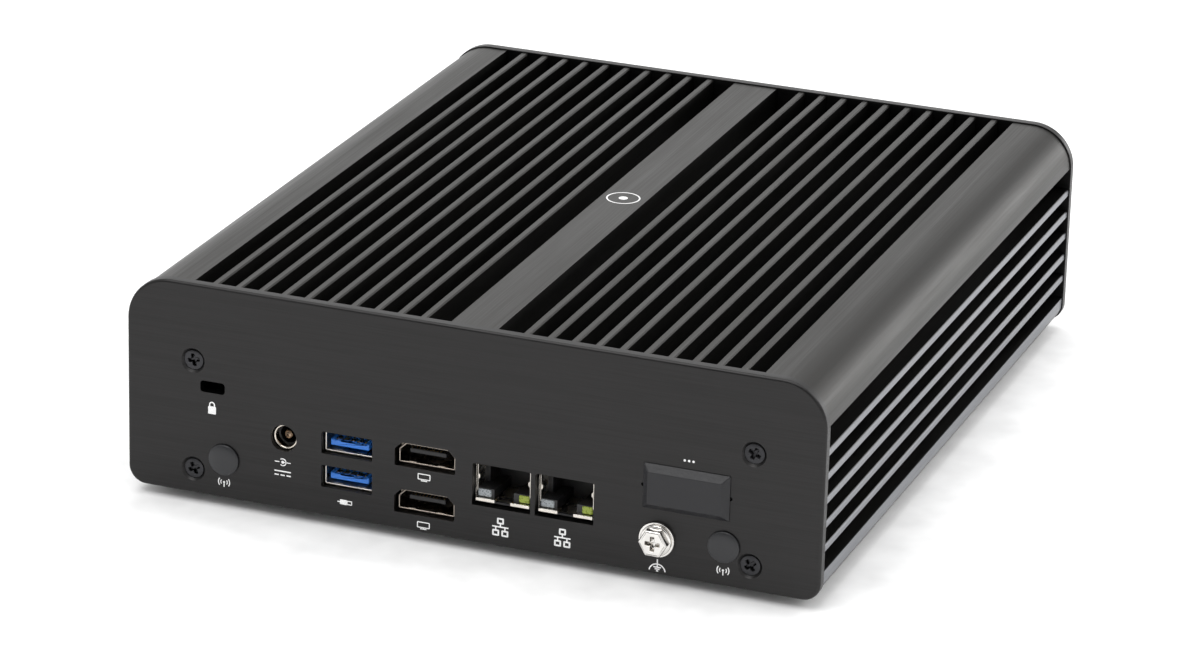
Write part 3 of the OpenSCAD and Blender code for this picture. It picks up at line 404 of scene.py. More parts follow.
class Finish:
    """A material whose principled shader is fed by what varies over the surface."""

    def __init__(self, name, colour, roughness, metallic=0.0, **constants):
        self.material = bpy.data.materials.new(name)
        self.material.use_nodes = True
        self.tree = self.material.node_tree
        self.shader = self.tree.nodes["Principled BSDF"]
        self.colour = (*colour, 1.0)
        self.shader.inputs["Base Color"].default_value = self.colour
        self.shader.inputs["Roughness"].default_value = roughness
        self.shader.inputs["Metallic"].default_value = metallic
        for socket, value in constants.items():
            self.shader.inputs[socket.replace("_", " ")].default_value = value

    def node(self, kind, settings=None, inputs=None, output=0):
        """Adds a node: its settings first, then the values or links of its sockets."""
        node = self.tree.nodes.new(kind)
        for key, setting in (settings or {}).items():
            setattr(node, key, setting)
        for key, value in (inputs or {}).items():
            self.plug(node.inputs[key], value)
        return Value(self, node.outputs[output])

    def plug(self, socket, value):
        if isinstance(value, Value):
            self.tree.links.new(value.socket, socket)
        else:
            socket.default_value = value

    def feed(self, **sockets):
        for name, value in sockets.items():
            self.plug(self.shader.inputs[name.replace("_", " ")], value)
        return self.material

    def place(self, scale):
        """Position on the object, stretched by a scale for each axis, in cells a metre."""
        spot = self.node("ShaderNodeTexCoord", output="Object")
        return self.node("ShaderNodeMapping", {}, {"Vector": spot, "Scale": scale})

    def noise(self, scale, detail=3.0, roughness=0.55):
        """Soft noise from 0 to 1 around a half, in cells a metre along each axis."""
        return self.node(
            "ShaderNodeTexNoise", {},
            {"Vector": self.place(scale), "Scale": 1.0, "Detail": detail, "Roughness": roughness},
        )

    def spread(self, value, low, high, start=0.3, end=0.7):
        """Value stretched from its own range to another."""
        return self.node(
            "ShaderNodeMapRange", {"interpolation_type": "SMOOTHSTEP"},
            {"Value": value, "From Min": start, "From Max": end, "To Min": low, "To Max": high},
        )

    def shades(self, share, low, high):
        """The finish's own colour, from low to high times its brightness."""
        dark, light = ([c * k for c in self.colour[:3]] + [1.0] for k in (low, high))
        return self.blend(share, dark, light)

    def blend(self, share, first, second):
        return self.node(
            "ShaderNodeMix", {"data_type": "RGBA"}, {0: share, 6: first, 7: second}, output=2
        )

    def relief(self, height, depth):
        """Fine relief of a depth in millimetres."""
        return self.node("ShaderNodeBump", {}, {"Height": height, "Distance": depth * MM})

    def edges(self, radius):
        """1 on the edges of the mesh and 0 on its flat faces."""
        bevel = self.node("ShaderNodeBevel", {"samples": 4}, {"Radius": radius * MM})
        flat = self.node("ShaderNodeNewGeometry", output="Normal")
        match = self.node("ShaderNodeVectorMath", {"operation": "DOT_PRODUCT"},
                          {0: bevel, 1: flat}, output="Value")
        return self.spread(1 - match, 0.0, 1.0, 0.01, 0.2)


FINISHES = {}


def finish_of(name):
    """The finish of that name, made when it is first asked for."""
    if name not in FINISHES:
        FINISHES[name] = RECIPES[name]()
    return FINISHES[name]


def brushed(name, colour, fine, coarse, roughness, metallic=1.0, edge_wear_and_highlight=0.0, depth=0.004,
            contrast=0.25, tip_highlight=None, **more):
    """Brushed metal. The grain is given in cells a metre: few along it and many across it."""
    finish = Finish(name, colour, roughness, metallic, **more)
    streaks = finish.noise(fine, detail=4.0, roughness=0.6)
    bands = finish.noise(coarse, detail=2.0)
    smudges = finish.noise((22, 22, 22), detail=2.0)
    share = streaks * 0.55 + bands * 0.3 + smudges * 0.15
    tone = finish.shades(finish.spread(share, 0.0, 1.0, 0.36, 0.64), 1 - contrast, 1 + contrast)
    # Painted highlight: a brighter, cooler colour on the outermost tips of the side fins, below the
    # shoulders, where light from the sides catches them.
    if tip_highlight:
        spot = finish.place((1, 1, 1))
        across = finish.node("ShaderNodeSeparateXYZ", {}, {0: spot}, output="X")
        height = finish.node("ShaderNodeSeparateXYZ", {}, {0: spot}, output="Z")
        side = finish.spread(abs(across), 0.0, 1.0, *tip_highlight["side"])
        below = finish.spread(height, 1.0, 0.0, *tip_highlight["top"])
        tone = finish.blend(side * below * 0.9, tone, tip_highlight["colour"])
    # Edges painted lighter: partly wear of the anodising, varied by the coarse bands, and partly a
    # painted highlight where the rims catch the light.
    if edge_wear_and_highlight:
        bright = [min(1.0, c * 4 + 0.05) for c in colour] + [1.0]
        tone = finish.blend(finish.edges(0.25) * edge_wear_and_highlight * finish.spread(bands, 0.4, 1.0), tone, bright)
    return finish.feed(
        Base_Color=tone,
        Roughness=finish.spread(share, roughness * 0.82, roughness * 1.2),
        Normal=finish.relief(streaks, depth),
    )


def plated(name, colour, roughness, grain=900, **more):
    """Drawn and plated sheet metal, with faint rolling marks and dull patches."""
    finish = Finish(name, colour, roughness, 1.0, **more)
    marks = finish.noise((grain, grain / 6, grain), detail=3.0)
    patches = finish.noise((160, 160, 160), detail=2.0)
    return finish.feed(
        Base_Color=finish.shades(marks * 0.5 + patches * 0.5, 0.72, 1.2),
        Roughness=finish.spread(patches, roughness * 0.7, roughness * 1.5),
        Normal=finish.relief(marks, 0.003),
    )


def moulded(name, colour, roughness, grain=2600, depth=0.006, **more):
    """Moulded plastic or rubber with a fine spark-eroded texture."""
    finish = Finish(name, colour, roughness, **more)
    texture = finish.noise((grain, grain, grain), detail=2.0)
    clouds = finish.noise((90, 90, 90), detail=2.0)
    return finish.feed(
        Base_Color=finish.shades(clouds * 0.6 + texture * 0.4, 0.82, 1.18),
        Roughness=finish.spread(texture, roughness * 0.85, min(1.0, roughness * 1.15)),
        Normal=finish.relief(texture, depth),
    )


def laminate(name, colour):
    """Circuit board: solder resist over fine straight tracks, with small plated holes."""
    finish = Finish(name, colour, 0.32, Coat_Roughness=0.2)
    tracks = finish.node("ShaderNodeTexBrick", {"offset": 0.37},
                         {"Vector": finish.place((180, 180, 180)), "Scale": 4.0,
                          "Mortar Size": 0.03, "Brick Width": 0.9, "Row Height": 0.18},
                         output="Fac")
    holes = finish.node("ShaderNodeTexVoronoi", {"feature": "F1"},
                        {"Vector": finish.place((140, 140, 140)), "Scale": 1.0})
    dots = finish.spread(holes, 1.0, 0.0, 0.08, 0.12)
    tone = finish.blend(tracks * 0.5, finish.colour, [c * 2.1 for c in colour] + [1.0])
    return finish.feed(
        Base_Color=finish.blend(dots, tone, (0.72, 0.66, 0.5, 1.0)),
        Roughness=finish.spread(tracks, 0.3, 0.42, 0.0, 1.0),
        Metallic=dots * 0.9,
        Normal=finish.relief(tracks, 0.03),
    )


def window(name, colour):
    """Clear moulded light guide, frosted on its face."""
    finish = Finish(name, colour, 0.28, Transmission_Weight=0.35, IOR=1.49)
    frost = finish.noise((1500, 1500, 1500), detail=2.0)
    return finish.feed(
        Base_Color=finish.shades(frost, 0.85, 1.12),
        Roughness=finish.spread(frost, 0.2, 0.4),
        Normal=finish.relief(frost, 0.004),
    )


def printed(name, colour):
    """Screen-printed ink, a little uneven at its pinholes."""
    finish = Finish(name, colour, 0.55)
    grain = finish.noise((4200, 4200, 4200), detail=2.0)
    return finish.feed(
        Base_Color=finish.shades(finish.spread(grain, 0.0, 1.0), 0.86, 1.08),
        Normal=finish.relief(grain, 0.003),
    )


def fin_tip_highlight():
    """Where the painted highlight on the side fins' outer tips and the foot band lies, and its
    colour.
    """
    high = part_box("chassis")[1]
    return {
        "side": [high.x - inset * MM for inset in (0.35, 0.1)],
        "top": [high.z - inset * MM for inset in (13.3, 13.0)],
        "colour": (0.225, 0.232, 0.25, 1.0),
    }


RECIPES = {
    # The case and the panels get lighter edges: partly wear, partly painted highlight.
    "case": lambda: brushed("anodised_case", colours().case, (2600, 26, 2600), (520, 9, 520),
                            0.40, edge_wear_and_highlight=0.45, contrast=0.16, tip_highlight=fin_tip_highlight()),
    "panel": lambda: brushed("anodised_panel", colours().panel, (40, 2600, 2600), (14, 900, 900),
                             0.40, edge_wear_and_highlight=0.55, depth=0.002, contrast=0.11),
    "cover_plate": lambda: moulded("painted_cover", (0.035, 0.035, 0.037), 0.5, 1500, 0.012),
    "screws": lambda: plated("black_screws", colours().screws, 0.33, 1400),
    "rubber": lambda: moulded("rubber_feet", (0.018, 0.018, 0.018), 0.78, 1800, 0.01),
    "zinc": lambda: plated("zinc_plate", (0.56, 0.56, 0.54), 0.36),
    "green_board": lambda: laminate("board_green", (0.010, 0.085, 0.040)),
    "blue_board": lambda: laminate("board_blue", (0.008, 0.050, 0.140)),
    "brass": lambda: plated("brass_posts", (0.62, 0.45, 0.19), 0.32),
    "substrate": lambda: laminate("substrate", (0.030, 0.100, 0.045)),
    "silicon": lambda: moulded("silicon", (0.060, 0.066, 0.080), 0.10, 500, 0.001, Metallic=0.6),
    "pad": lambda: moulded("gap_pad", (0.30, 0.30, 0.34), 0.85, 2200, 0.02),
    "bare": lambda: brushed("bare_aluminium", (0.62, 0.63, 0.64), (60, 2200, 2200),
                            (14, 600, 600), 0.35),
    "ferrite": lambda: moulded("ferrite", (0.050, 0.050, 0.054), 0.7, 3000, 0.02),
    "can": lambda: brushed("capacitor_can", (0.58, 0.59, 0.61), (900, 900, 60),
                           (300, 300, 20), 0.3),
    "chip": lambda: moulded("chip_black", (0.020, 0.020, 0.022), 0.6, 3600, 0.01),
    "nylon": lambda: moulded("black_nylon", colours().nylon, 0.45),
    "cell": lambda: plated("cell_steel", (0.60, 0.60, 0.58), 0.28),
    "jack": lambda: plated("jack_nickel", (0.74, 0.68, 0.60), 0.18),
    "pin": lambda: plated("jack_pin", (0.42, 0.31, 0.22), 0.25),
    "nickel": lambda: plated("socket_nickel", colours().nickel, 0.26),
    "dull_nickel": lambda: plated("video_nickel", (0.40, 0.35, 0.30), 0.22),
    "gold": lambda: plated("contact_gold", colours().gold, 0.2),
    "blue": lambda: moulded("blue_nylon", colours().blue, 0.38),
    "clear": lambda: window("window_clear", (0.36, 0.39, 0.41)),
    "green": lambda: window("window_green", (0.34, 0.43, 0.04)),
    "cover": lambda: moulded("cover_plastic", colours().cover, 0.42, 2000, 0.004,
                             Specular_IOR_Level=0.4),
    "plug": lambda: moulded("plug_rubber", colours().plugs, 0.42, depth=0.003),
    "earth": lambda: plated("earth_nickel", colours().bright, 0.14),
    "button": lambda: brushed("button_metal", (0.42, 0.42, 0.43), (900, 900, 900),
                              (200, 200, 200), 0.3),
    "ring_light": lambda: window("ring_light", (0.45, 0.65, 0.85)),
    "ink": lambda: printed("legend_ink", colours().ink),
    "floor": lambda: moulded("pale_floor", colours().floor, 0.75, 60, 0.0),
}


def dress(node, name):
    """Gives a node of the frame its finish."""
    data = frame["nodes"][node].data
    data.materials.clear()
    data.materials.append(finish_of(name))
    for polygon in data.polygons:
        polygon.material_index = 0


# ---------------------------------------------------------------- the case

# Openings of the end panels, as width, height and corner, in millimetres.
SERIAL_OPENING = (14.6, 6.2, 0.45)
VIDEO_OPENING = (17.2, 6.7, 2.0)
NETWORK_OPENING = (16.4, 11.8, 0.4)
# Room under a network jack, and around the heads and threads of the case screws.
NETWORK_GAP = 0.7
HEAD_PLAY = 0.25
THREAD_PLAY = 0.15
# Angles at which the case screws happened to stop, in radians.
SCREW_TURNS = (0.45, 0.2, 0.62, 1.1, 0.9, 0.3)
# From the end of the light pipes' box to the middle of a pipe.
LIGHT_PIPE_REACH = 2.2


class MINIPC_OT_case(bpy.types.Operator):
    """Finish the finned case, its bottom cover and the mounting nuts"""

    bl_idname = "minipc.case"
    bl_label = "Case and cover"

    def execute(self, context):
        dress("chassis", "case")
        dress("bottom_cover", "cover_plate")
        dress("mount_nuts", "zinc")
        return {"FINISHED"}


def hole(shell, outline, soft, depth, floor=False):
    """Opening with a softened rim, cut from the face. Returns its loops in front and behind."""
    rim = [(out, -down) for out, down in reversed(quarter(soft, 3))]
    first, last = shell.path(outline, rim + [(0, -depth)])
    if floor:
        shell.cap(last)
        return first, None
    return first, last


def sunk_holes(shell, spots, thickness):
    """Countersunk screw holes. Returns their loops in front and behind."""
    size = sizes()
    head, thread, sink = size.head / 2 + HEAD_PLAY, size.thread / 2 + THREAD_PLAY, size.sink
    cone = (size.head - size.thread) / 2
    pairs = []
    for x, y in spots:
        outline = moved(ring(head), x, y)
        stations = [(0.5, 0), (0.44, -0.04), (0.04, -0.4), (0, -0.5), (thread - head, -sink - cone),
                    (thread - head, -thickness)]
        pairs.append(shell.path(outline, stations))
    return pairs


def screw_spots(node, at_x, at_y):
    """Outermost centres of a node's case screws, in millimetres, along two axes of its box."""
    lo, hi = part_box(node)
    reach = sizes().head / 2
    x0, x1 = lo[at_x] / MM + reach, hi[at_x] / MM - reach
    y0, y1 = lo[at_y] / MM + reach, hi[at_y] / MM - reach
    return x0, x1, y0, y1


def end_plate(cuts, screws, blind=()):
    """End panel with a rounded rim, its openings and its countersunk screw holes."""
    size = sizes()
    width, height = (FRONT_HI.x - FRONT_LO.x) / MM, (FRONT_HI.z - FRONT_LO.z) / MM
    thickness = (FRONT_HI.y - FRONT_LO.y) / MM
    half = width / 2
    outline = rounded(
        [(-half, 0), (half, 0), (half, height), (-half, height)],
        [size.bottom_radius, size.bottom_radius, size.top_radius, size.top_radius], 14,
    )
    shell = Shell()
    rim = [(-inset, -drop) for inset, drop in quarter(size.rounding, 6)]
    back, front = shell.path(outline, [(-0.1, -thickness), (0, -thickness + 0.1)] + rim)
    pairs = [hole(shell, cut, size.softening, thickness) for cut in cuts]
    pairs += sunk_holes(shell, screws, thickness)
    blinds = [hole(shell, cut, 0.05, 1.0, floor=True)[0] for cut in blind]
    shell.cap(front, *(pair[0] for pair in pairs), *blinds)
    shell.cap(back, *(pair[1] for pair in pairs), up=False)
    return shell


def spot_on_front(name):
    """Place of a mount on the connector panel, in millimetres from the panel's lower middle."""
    return SPOT[name].x / MM, (SPOT[name].z - FRONT_LO.z) / MM


def video_shape(width, height, bevel):
    """Outline of a video socket, with cut upper corners."""
    x, y = width / 2, height / 2
    corners = [(-x, -y), (x, -y), (x, y - bevel), (x - bevel, y), (-x + bevel, y), (-x, y - bevel)]
    return rounded(corners, [0.5, 0.5, 0.7, 0.7, 0.7, 0.7], 4)


class MINIPC_OT_front_panel(bpy.types.Operator):
    """Connector panel with its openings"""

    bl_idname = "minipc.front_panel"
    bl_label = "Connector panel"

    def execute(self, context):
        x0, x1, y0, y1 = screw_spots("io_panel_screws", 0, 2)
        lift = FRONT_LO.z / MM
        screws = [(x, y - lift) for x in (x0, x1) for y in (y0, y1)]
        shapes = {
            "lock_slot": panel_shape(7.1, 3.2, 0.9),
            "power_jack": ring(3.7),
            "serial_socket_low": panel_shape(*SERIAL_OPENING),
            "serial_socket_high": panel_shape(*SERIAL_OPENING),
            "video_socket_low": video_shape(*VIDEO_OPENING),
            "video_socket_high": video_shape(*VIDEO_OPENING),
            "antenna_hole_left": ring(3.25),
            "antenna_hole_right": ring(3.25),
            "service_opening": panel_shape(17.5, 9.4, 0.4),
            "earth_terminal": ring(3.2),
        }
        cuts = [moved(shape, *spot_on_front(name)) for name, shape in shapes.items()]
        for name in ("network_jack_left", "network_jack_right"):
            x, _ = spot_on_front(name)
            low = (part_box("network_shells")[0].z - FRONT_LO.z) / MM - NETWORK_GAP
            cuts.append(moved(panel_shape(*NETWORK_OPENING), x, low + NETWORK_OPENING[1] / 2))
        x, y = spot_on_front("service_opening")
        lo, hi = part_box("service_cover")
        reach = (hi.x - lo.x) / MM / 2
        notches = [moved(ring(0.6, 20), x + side * reach, y) for side in (-1, 1)]
        shell = end_plate(cuts, screws, notches)
        make("front_panel", shell, on_front(0, FRONT_LO.z), "panel",
             slot="anodised_panel", replaces=["io_panel"])
        return {"FINISHED"}


class MINIPC_OT_back_panel(bpy.types.Operator):
    """Rear panel with its openings"""

    bl_idname = "minipc.back_panel"
    bl_label = "Rear panel"

    def execute(self, context):
        x0, x1, y0, y1 = screw_spots("rear_panel_screws", 0, 2)
        lift = REAR_LO.z / MM
        screws = [(-x, y - lift) for x in (x0, x1) for y in (y0, y1)]
        button = middle("button_cap")
        lo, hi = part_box("light_pipes")
        cuts = [moved(ring(6.1), -button.x / MM, button.z / MM - lift)]
        for x in (lo.x / MM + LIGHT_PIPE_REACH, hi.x / MM - LIGHT_PIPE_REACH):
            cuts.append(moved(ring(1.5, 32), -x, (lo.z + hi.z) / 2 / MM - lift))
        for x, y in serial_spots("rear_usb_tongues"):
            cuts.append(moved(panel_shape(*SERIAL_OPENING), -x, y - lift))
        make("back_panel", end_plate(cuts, screws), on_rear(0, REAR_LO.z), "panel",
             slot="anodised_panel", replaces=["rear_panel"])
        return {"FINISHED"}


def middle(node):
    """Middle of a node's box, in metres."""
    lo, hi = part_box(node)
    return (lo + hi) / 2


def case_screw(shell, x, y, turn, length):
    """Sunk cross-head screw."""
    size = sizes()
    head, thread, top = size.head / 2, size.thread / 2, -size.sink
    cone = top - (head - thread)
    recess = moved(cross_shape(3.3, 0.95), x, y, turn)
    outer = moved(ring(head), x, y)
    stations = [
        (0.55 * thread - head, top - length), (thread - head, top - length + 0.7),
        (thread - head, cone), (-0.1, top - 0.3), (0, top - 0.2), (-0.06, top - 0.08),
        (-0.24, top),
    ]
    low, high = shell.path(outer, stations)
    mouth, floor = shell.path(recess, [(0.16, top), (0, top - 0.14), (-0.2, top - 1.0)])
    shell.cap(low, up=False)
    shell.cap(high, mouth)
    shell.cap(floor)


class MINIPC_OT_screws(bpy.types.Operator):
    """Sunk screws of the panels and of the bottom cover"""

    bl_idname = "minipc.screws"
    bl_label = "Case screws"

    def execute(self, context):
        for node, name, place, mirror in (
            ("io_panel_screws", "front_screws", on_front(), 1),
            ("rear_panel_screws", "rear_screws", on_rear(), -1),
        ):
            x0, x1, y0, y1 = screw_spots(node, 0, 2)
            shell = Shell()
            spots = [(x, y) for x in (x0, x1) for y in (y0, y1)]
            for (x, y), turn in zip(spots, SCREW_TURNS):
                case_screw(shell, mirror * x, y, turn, 11.0)
            make(name, shell, place, "screws", slot="black_screws", replaces=[node])
        x0, x1, y0, y1 = screw_spots("cover_screws", 0, 1)
        shell = Shell()
        spots = [(x, -y) for x in (x0, x1) for y in (y0, (y0 + y1) / 2, y1)]
        for (x, y), turn in zip(spots, SCREW_TURNS):
            case_screw(shell, x, y, turn, 6.5)
        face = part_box("bottom_cover")[0].z
        make("underside_screws", shell, under(0, 0, face), "screws",
             slot="black_screws", replaces=["cover_screws"])
        return {"FINISHED"}


class MINIPC_OT_feet(bpy.types.Operator):
    """Rubber feet, each with a moulded ring around its stem"""

    bl_idname = "minipc.feet"
    bl_label = "Rubber feet"

    def execute(self, context):
        lo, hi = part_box("feet")
        radius, soft = 7.0, 1.0
        tall = (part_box("bottom_cover")[0].z - lo.z) / MM
        top = (hi.z - lo.z) / MM
        shell = Shell()
        for x in (lo.x / MM + radius, hi.x / MM - radius):
            for y in (lo.y / MM + radius, hi.y / MM - radius):
                rim = bend(soft, -1, 0, 5, radius - soft, soft)
                shell.lathe(
                    [(0, 0.5), (2.2, 0.5), (2.7, 0.35), (2.9, 0.0)] + rim
                    + [(radius, tall - 0.1), (radius - 0.1, tall), (2.4, tall), (2.4, top - 1.5),
                       (3.2, top - 1.4), (2.3, top), (0, top)],
                    x, y,
                )
        make("rubber_feet", shell, on_roof(0, 0, lo.z), "rubber",
             slot="rubber_feet", replaces=["feet"])
        return {"FINISHED"}


# ---------------------------------------------------------------- sockets

def serial_spots(node):
    """Centres of the two stacked serial sockets, in millimetres."""
    lo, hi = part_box(node)
    inner = 4.9
    x = (lo.x + hi.x) / 2 / MM
    return [(x, lo.z / MM + inner / 2), (x, hi.z / MM - inner / 2)]


# Sheet-metal sockets, in millimetres. Depths are behind the panel's face, so they are negative.
SOCKET_WALL = 0.5
SOCKET_FLOOR = -15.0
SHELL_GAP = 0.2


def socket_box(shell, node, face, mouths, lip, flip=1):
    """Sheet-metal shell: a box behind the panel, and mouths that reach into its openings."""
    lo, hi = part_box(node)
    outline = rounded(
        sorted([(flip * lo.x / MM, lo.z / MM), (flip * hi.x / MM, lo.z / MM)])
        + sorted([(flip * lo.x / MM, hi.z / MM), (flip * hi.x / MM, hi.z / MM)], reverse=True),
        [0.3] * 4, 3,
    )
    front = -(FRONT_HI.y - FRONT_LO.y) / MM - SHELL_GAP
    depth = -max(abs(lo.y - face), abs(hi.y - face)) / MM
    low, high = shell.path(outline, [(0, depth), (0, front - 0.2), (-0.2, front)])
    holes = []
    for mouth in mouths:
        radius = SOCKET_WALL / 2
        turned = bend(radius, 0, 2, 6, -radius, -lip - radius)
        first, last = shell.path(mouth, [(0, front)] + turned + [(-SOCKET_WALL, SOCKET_FLOOR)])
        holes.append(first)
        shell.cap(last)
    shell.cap(high, *holes)
    shell.cap(low, up=False)


def leaf(shell, x, y, width, z0, z1, sag, thick=0.12, upward=True):
    """Spring leaf that bows into the mouth from its wall: a thin bent strip. One on the upper
    wall bows down."""
    side = -1 if upward else 1
    steps = 6
    rows = []
    for k in range(steps + 1):
        z = z0 + (z1 - z0) * k / steps
        at = y + sag * math.sin(math.pi * k / steps) * side
        first = len(shell.points)
        for dx, dy in ((-1, 0), (1, 0), (1, 1), (-1, 1)):
            shell.points.append((x + dx * width / 2, at + dy * thick * side, z))
        rows.append(list(range(first, first + 4)))
    for low, high in zip(rows, rows[1:]):
        shell.strip(*((low, high) if side > 0 else (high, low)))
    shell.cap(rows[0], up=side < 0)
    shell.cap(rows[-1], up=side > 0)


class MINIPC_OT_power_jack(bpy.types.Operator):
    """Power jack: a turned sleeve and a centre pin in a nylon body"""

    bl_idname = "minipc.power_jack"
    bl_label = "Power jack"

    def execute(self, context):
        spot = SPOT["power_jack"]
        lo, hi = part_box("dc_jack_sleeve")
        outer = (hi.x - lo.x) / MM / 2
        front, back = -sizes().mouth, -(hi.y - FRONT_LO.y) / MM
        shell = Shell()
        shell.lathe(
            [(outer, back), (outer, front - 0.25), (outer - 0.08, front - 0.07),
             (outer - 0.25, front), (outer - 0.42, front - 0.03), (outer - 0.6, front - 0.18),
             (outer - 0.7, front - 0.5), (outer - 0.7, back + 0.2), (outer - 0.5, back)],
            closed=True,
        )
        liner = Shell()
        liner.lathe([(0, back + 0.1), (outer - 0.72, back + 0.1), (outer - 0.72, front - 2.4),
                     (outer - 1.0, front - 2.5), (outer - 1.0, back + 1), (0, back + 1)])
        make("jack_liner", liner, on_front(spot.x, spot.z), "nylon",
             slot="black_nylon")
        make("jack_sleeve", shell, on_front(spot.x, spot.z), "jack",
             slot="jack_nickel", replaces=["dc_jack_sleeve"])
        lo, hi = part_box("dc_jack_pin")
        radius = (hi.x - lo.x) / MM / 2
        tip, back = -(lo.y - FRONT_LO.y) / MM, -(hi.y - FRONT_LO.y) / MM
        nose = 0.9
        round_tip = bend(radius, 0, 1, 6, 0, tip - nose, tall=nose)[:-1]
        shell = Shell()
        shell.lathe([(radius, back), (radius, tip - 4.2), (radius - 0.12, tip - 4.1),
                     (radius - 0.12, tip - 3.8), (radius, tip - 3.7)] + round_tip
                    + [(0.35, tip), (0.3, tip - 0.8), (0, tip - 0.8)], steps=32)
        make("jack_pin", shell, on_front(spot.x, spot.z), "pin",
             slot="jack_pin", replaces=["dc_jack_pin"])
        dress("dc_jack_body", "nylon")
        return {"FINISHED"}


# Tongue of a serial socket, in millimetres: how far its underside lies below the mouth's middle,
# its size, and its grooves for the contacts.
TONGUE_DROP = 1.15
TONGUE_WIDE = 11.1
TONGUE_THICK = 1.84
GROOVE_WIDE = 0.9
GROOVE_DEEP = 0.3
GROOVE_PITCH = 2.0
SERIAL_MOUTH = (14.2, 5.8, 0.7)
TONGUE_ROOT = -12.0
TONGUE_TIP = -2.2


def serial_tongue(shell, x, y, root, reach):
    """Blue tongue with five grooves on top, on a root block that fills the back of the mouth."""
    shell.block(moved(panel_shape(13.2, 4.8, 0.3), x, y), root - 3.0, root, 0.1)
    half, low, top = TONGUE_WIDE / 2, y - TONGUE_DROP, y - TONGUE_DROP + TONGUE_THICK
    corners = [(x - half, low), (x + half, low), (x + half, top)]
    radii = [0.25, 0.25, 0.2]
    for k in (2, 1, 0, -1, -2):
        left, right = (x + k * GROOVE_PITCH + side * GROOVE_WIDE / 2 for side in (-1, 1))
        corners += [(right, top), (right, top - GROOVE_DEEP), (left, top - GROOVE_DEEP), (left, top)]
        radii += [0.05] * 4
    corners.append((x - half, top))
    radii.append(0.2)
    shell.block(rounded(corners, radii, 3), root - 0.5, reach, 0.25)


def serial_contacts(shell, x, y, root, reach):
    """Five contact strips in the grooves, and four small ones on the tip."""
    top = y - TONGUE_DROP + TONGUE_THICK
    for k in range(-2, 3):
        strip = moved(panel_shape(0.7, 0.14, 0.03, 2), x + k * GROOVE_PITCH, top - GROOVE_DEEP + 0.1)
        shell.block(strip, root - 0.4, reach - 1.0, 0.05)
    for k in (-1.5, -0.5, 0.5, 1.5):
        pad = moved(panel_shape(1.0, 0.06, 0.02, 2), x + k * GROOVE_PITCH, top)
        shell.block(pad, reach - 2.6, reach - 0.6, 0.02)


class MINIPC_OT_serial_sockets(bpy.types.Operator):
    """Two stacked serial sockets at the front and two at the back"""

    bl_idname = "minipc.serial_sockets"
    bl_label = "Serial sockets"

    def execute(self, context):
        size = sizes()
        for prefix, shell_node, tongue_node, place, face, flip in (
            ("serial", "usb_shell", "usb_tongues", on_front(), FRONT_LO.y, 1),
            ("rear_serial", "rear_usb_shell", "rear_usb_tongues", on_rear(), REAR_HI.y, -1),
        ):
            spots = [(flip * x, y) for x, y in serial_spots(tongue_node)]
            mouths = [moved(panel_shape(*SERIAL_MOUTH), x, y) for x, y in spots]
            metal = Shell()
            socket_box(metal, shell_node, face, mouths, size.mouth + 0.5, flip)
            for x, y in spots:
                for at in (x - 3.4, x + 3.4):
                    leaf(metal, at, y + 2.46, 2.3, -9.5, -size.mouth - 1.2, 0.34)
                    leaf(metal, at, y - 2.46, 2.3, -9.5, -size.mouth - 1.2, 0.3, upward=False)
            make(f"{prefix}_shell", metal, place, "nickel",
                 slot="socket_nickel", replaces=[shell_node])
            blue, contacts = Shell(), Shell()
            for x, y in spots:
                serial_tongue(blue, x, y, TONGUE_ROOT, TONGUE_TIP)
                serial_contacts(contacts, x, y, TONGUE_ROOT, TONGUE_TIP)
            make(f"{prefix}_tongues", blue, place, "blue",
                 slot="blue_nylon", replaces=[tongue_node])
            make(f"{prefix}_contacts", contacts, place, "gold", slot="jack_pin")
        return {"FINISHED"}


# Video sockets, in millimetres, with outlines as width, height and corner.
VIDEO_MOUTH = (16.3, 5.8, 2.0)
VIDEO_TONGUE = (10.4, 1.3, 0.22)
VIDEO_ROOT = -12.0
VIDEO_TIP = -2.4
VIDEO_PITCH = 1.0


class MINIPC_OT_video_sockets(bpy.types.Operator):
    """Two stacked video sockets with their contact tongues"""

    bl_idname = "minipc.video_sockets"
    bl_label = "Video sockets"

    def execute(self, context):
        size = sizes()
        spots = []
        for name in ("video_socket_low", "video_socket_high"):
            spots.append((SPOT[name].x / MM, SPOT[name].z / MM))
        metal, black, contacts = Shell(), Shell(), Shell()
        mouths = [moved(video_shape(*VIDEO_MOUTH), x, y) for x, y in spots]
        socket_box(metal, "video_shell", FRONT_LO.y, mouths, size.mouth + 0.3)
        for x, y in spots:
            for dx in (-4.1, 4.1):
                leaf(metal, x + dx, y - 2.4, 2.0, -8.0, -size.mouth - 0.5, 0.3, upward=False)
            back = moved(video_shape(15.2, 4.7, 1.75), x, y)
            black.block(back, SOCKET_FLOOR, VIDEO_ROOT, 0.1)
            tall, soft = VIDEO_TONGUE[1:]
            tongue = moved(panel_shape(*VIDEO_TONGUE), x, y + tall / 2)
            black.block(tongue, VIDEO_ROOT - 0.5, VIDEO_TIP, soft)
            for k in range(10):
                at = x + (k - 4.5) * VIDEO_PITCH
                for height in (0.02, tall - 0.02):
                    bar = moved(panel_shape(0.42, 0.1, 0.03, 2), at, y + height)
                    contacts.block(bar, VIDEO_ROOT - 0.1, VIDEO_TIP - 0.35, 0.03)
        make("video_shell_detailed", metal, on_front(), "dull_nickel",
             slot="socket_nickel", replaces=["video_shell"])
        make("video_tongues_detailed", black, on_front(), "nylon",
             slot="black_nylon", replaces=["video_tongues"])
        make("video_contacts", contacts, on_front(), "gold", slot="jack_pin")
        return {"FINISHED"}


# Distance between the contact wires of a network jack, in millimetres.
WIRE_PITCH = 1.02


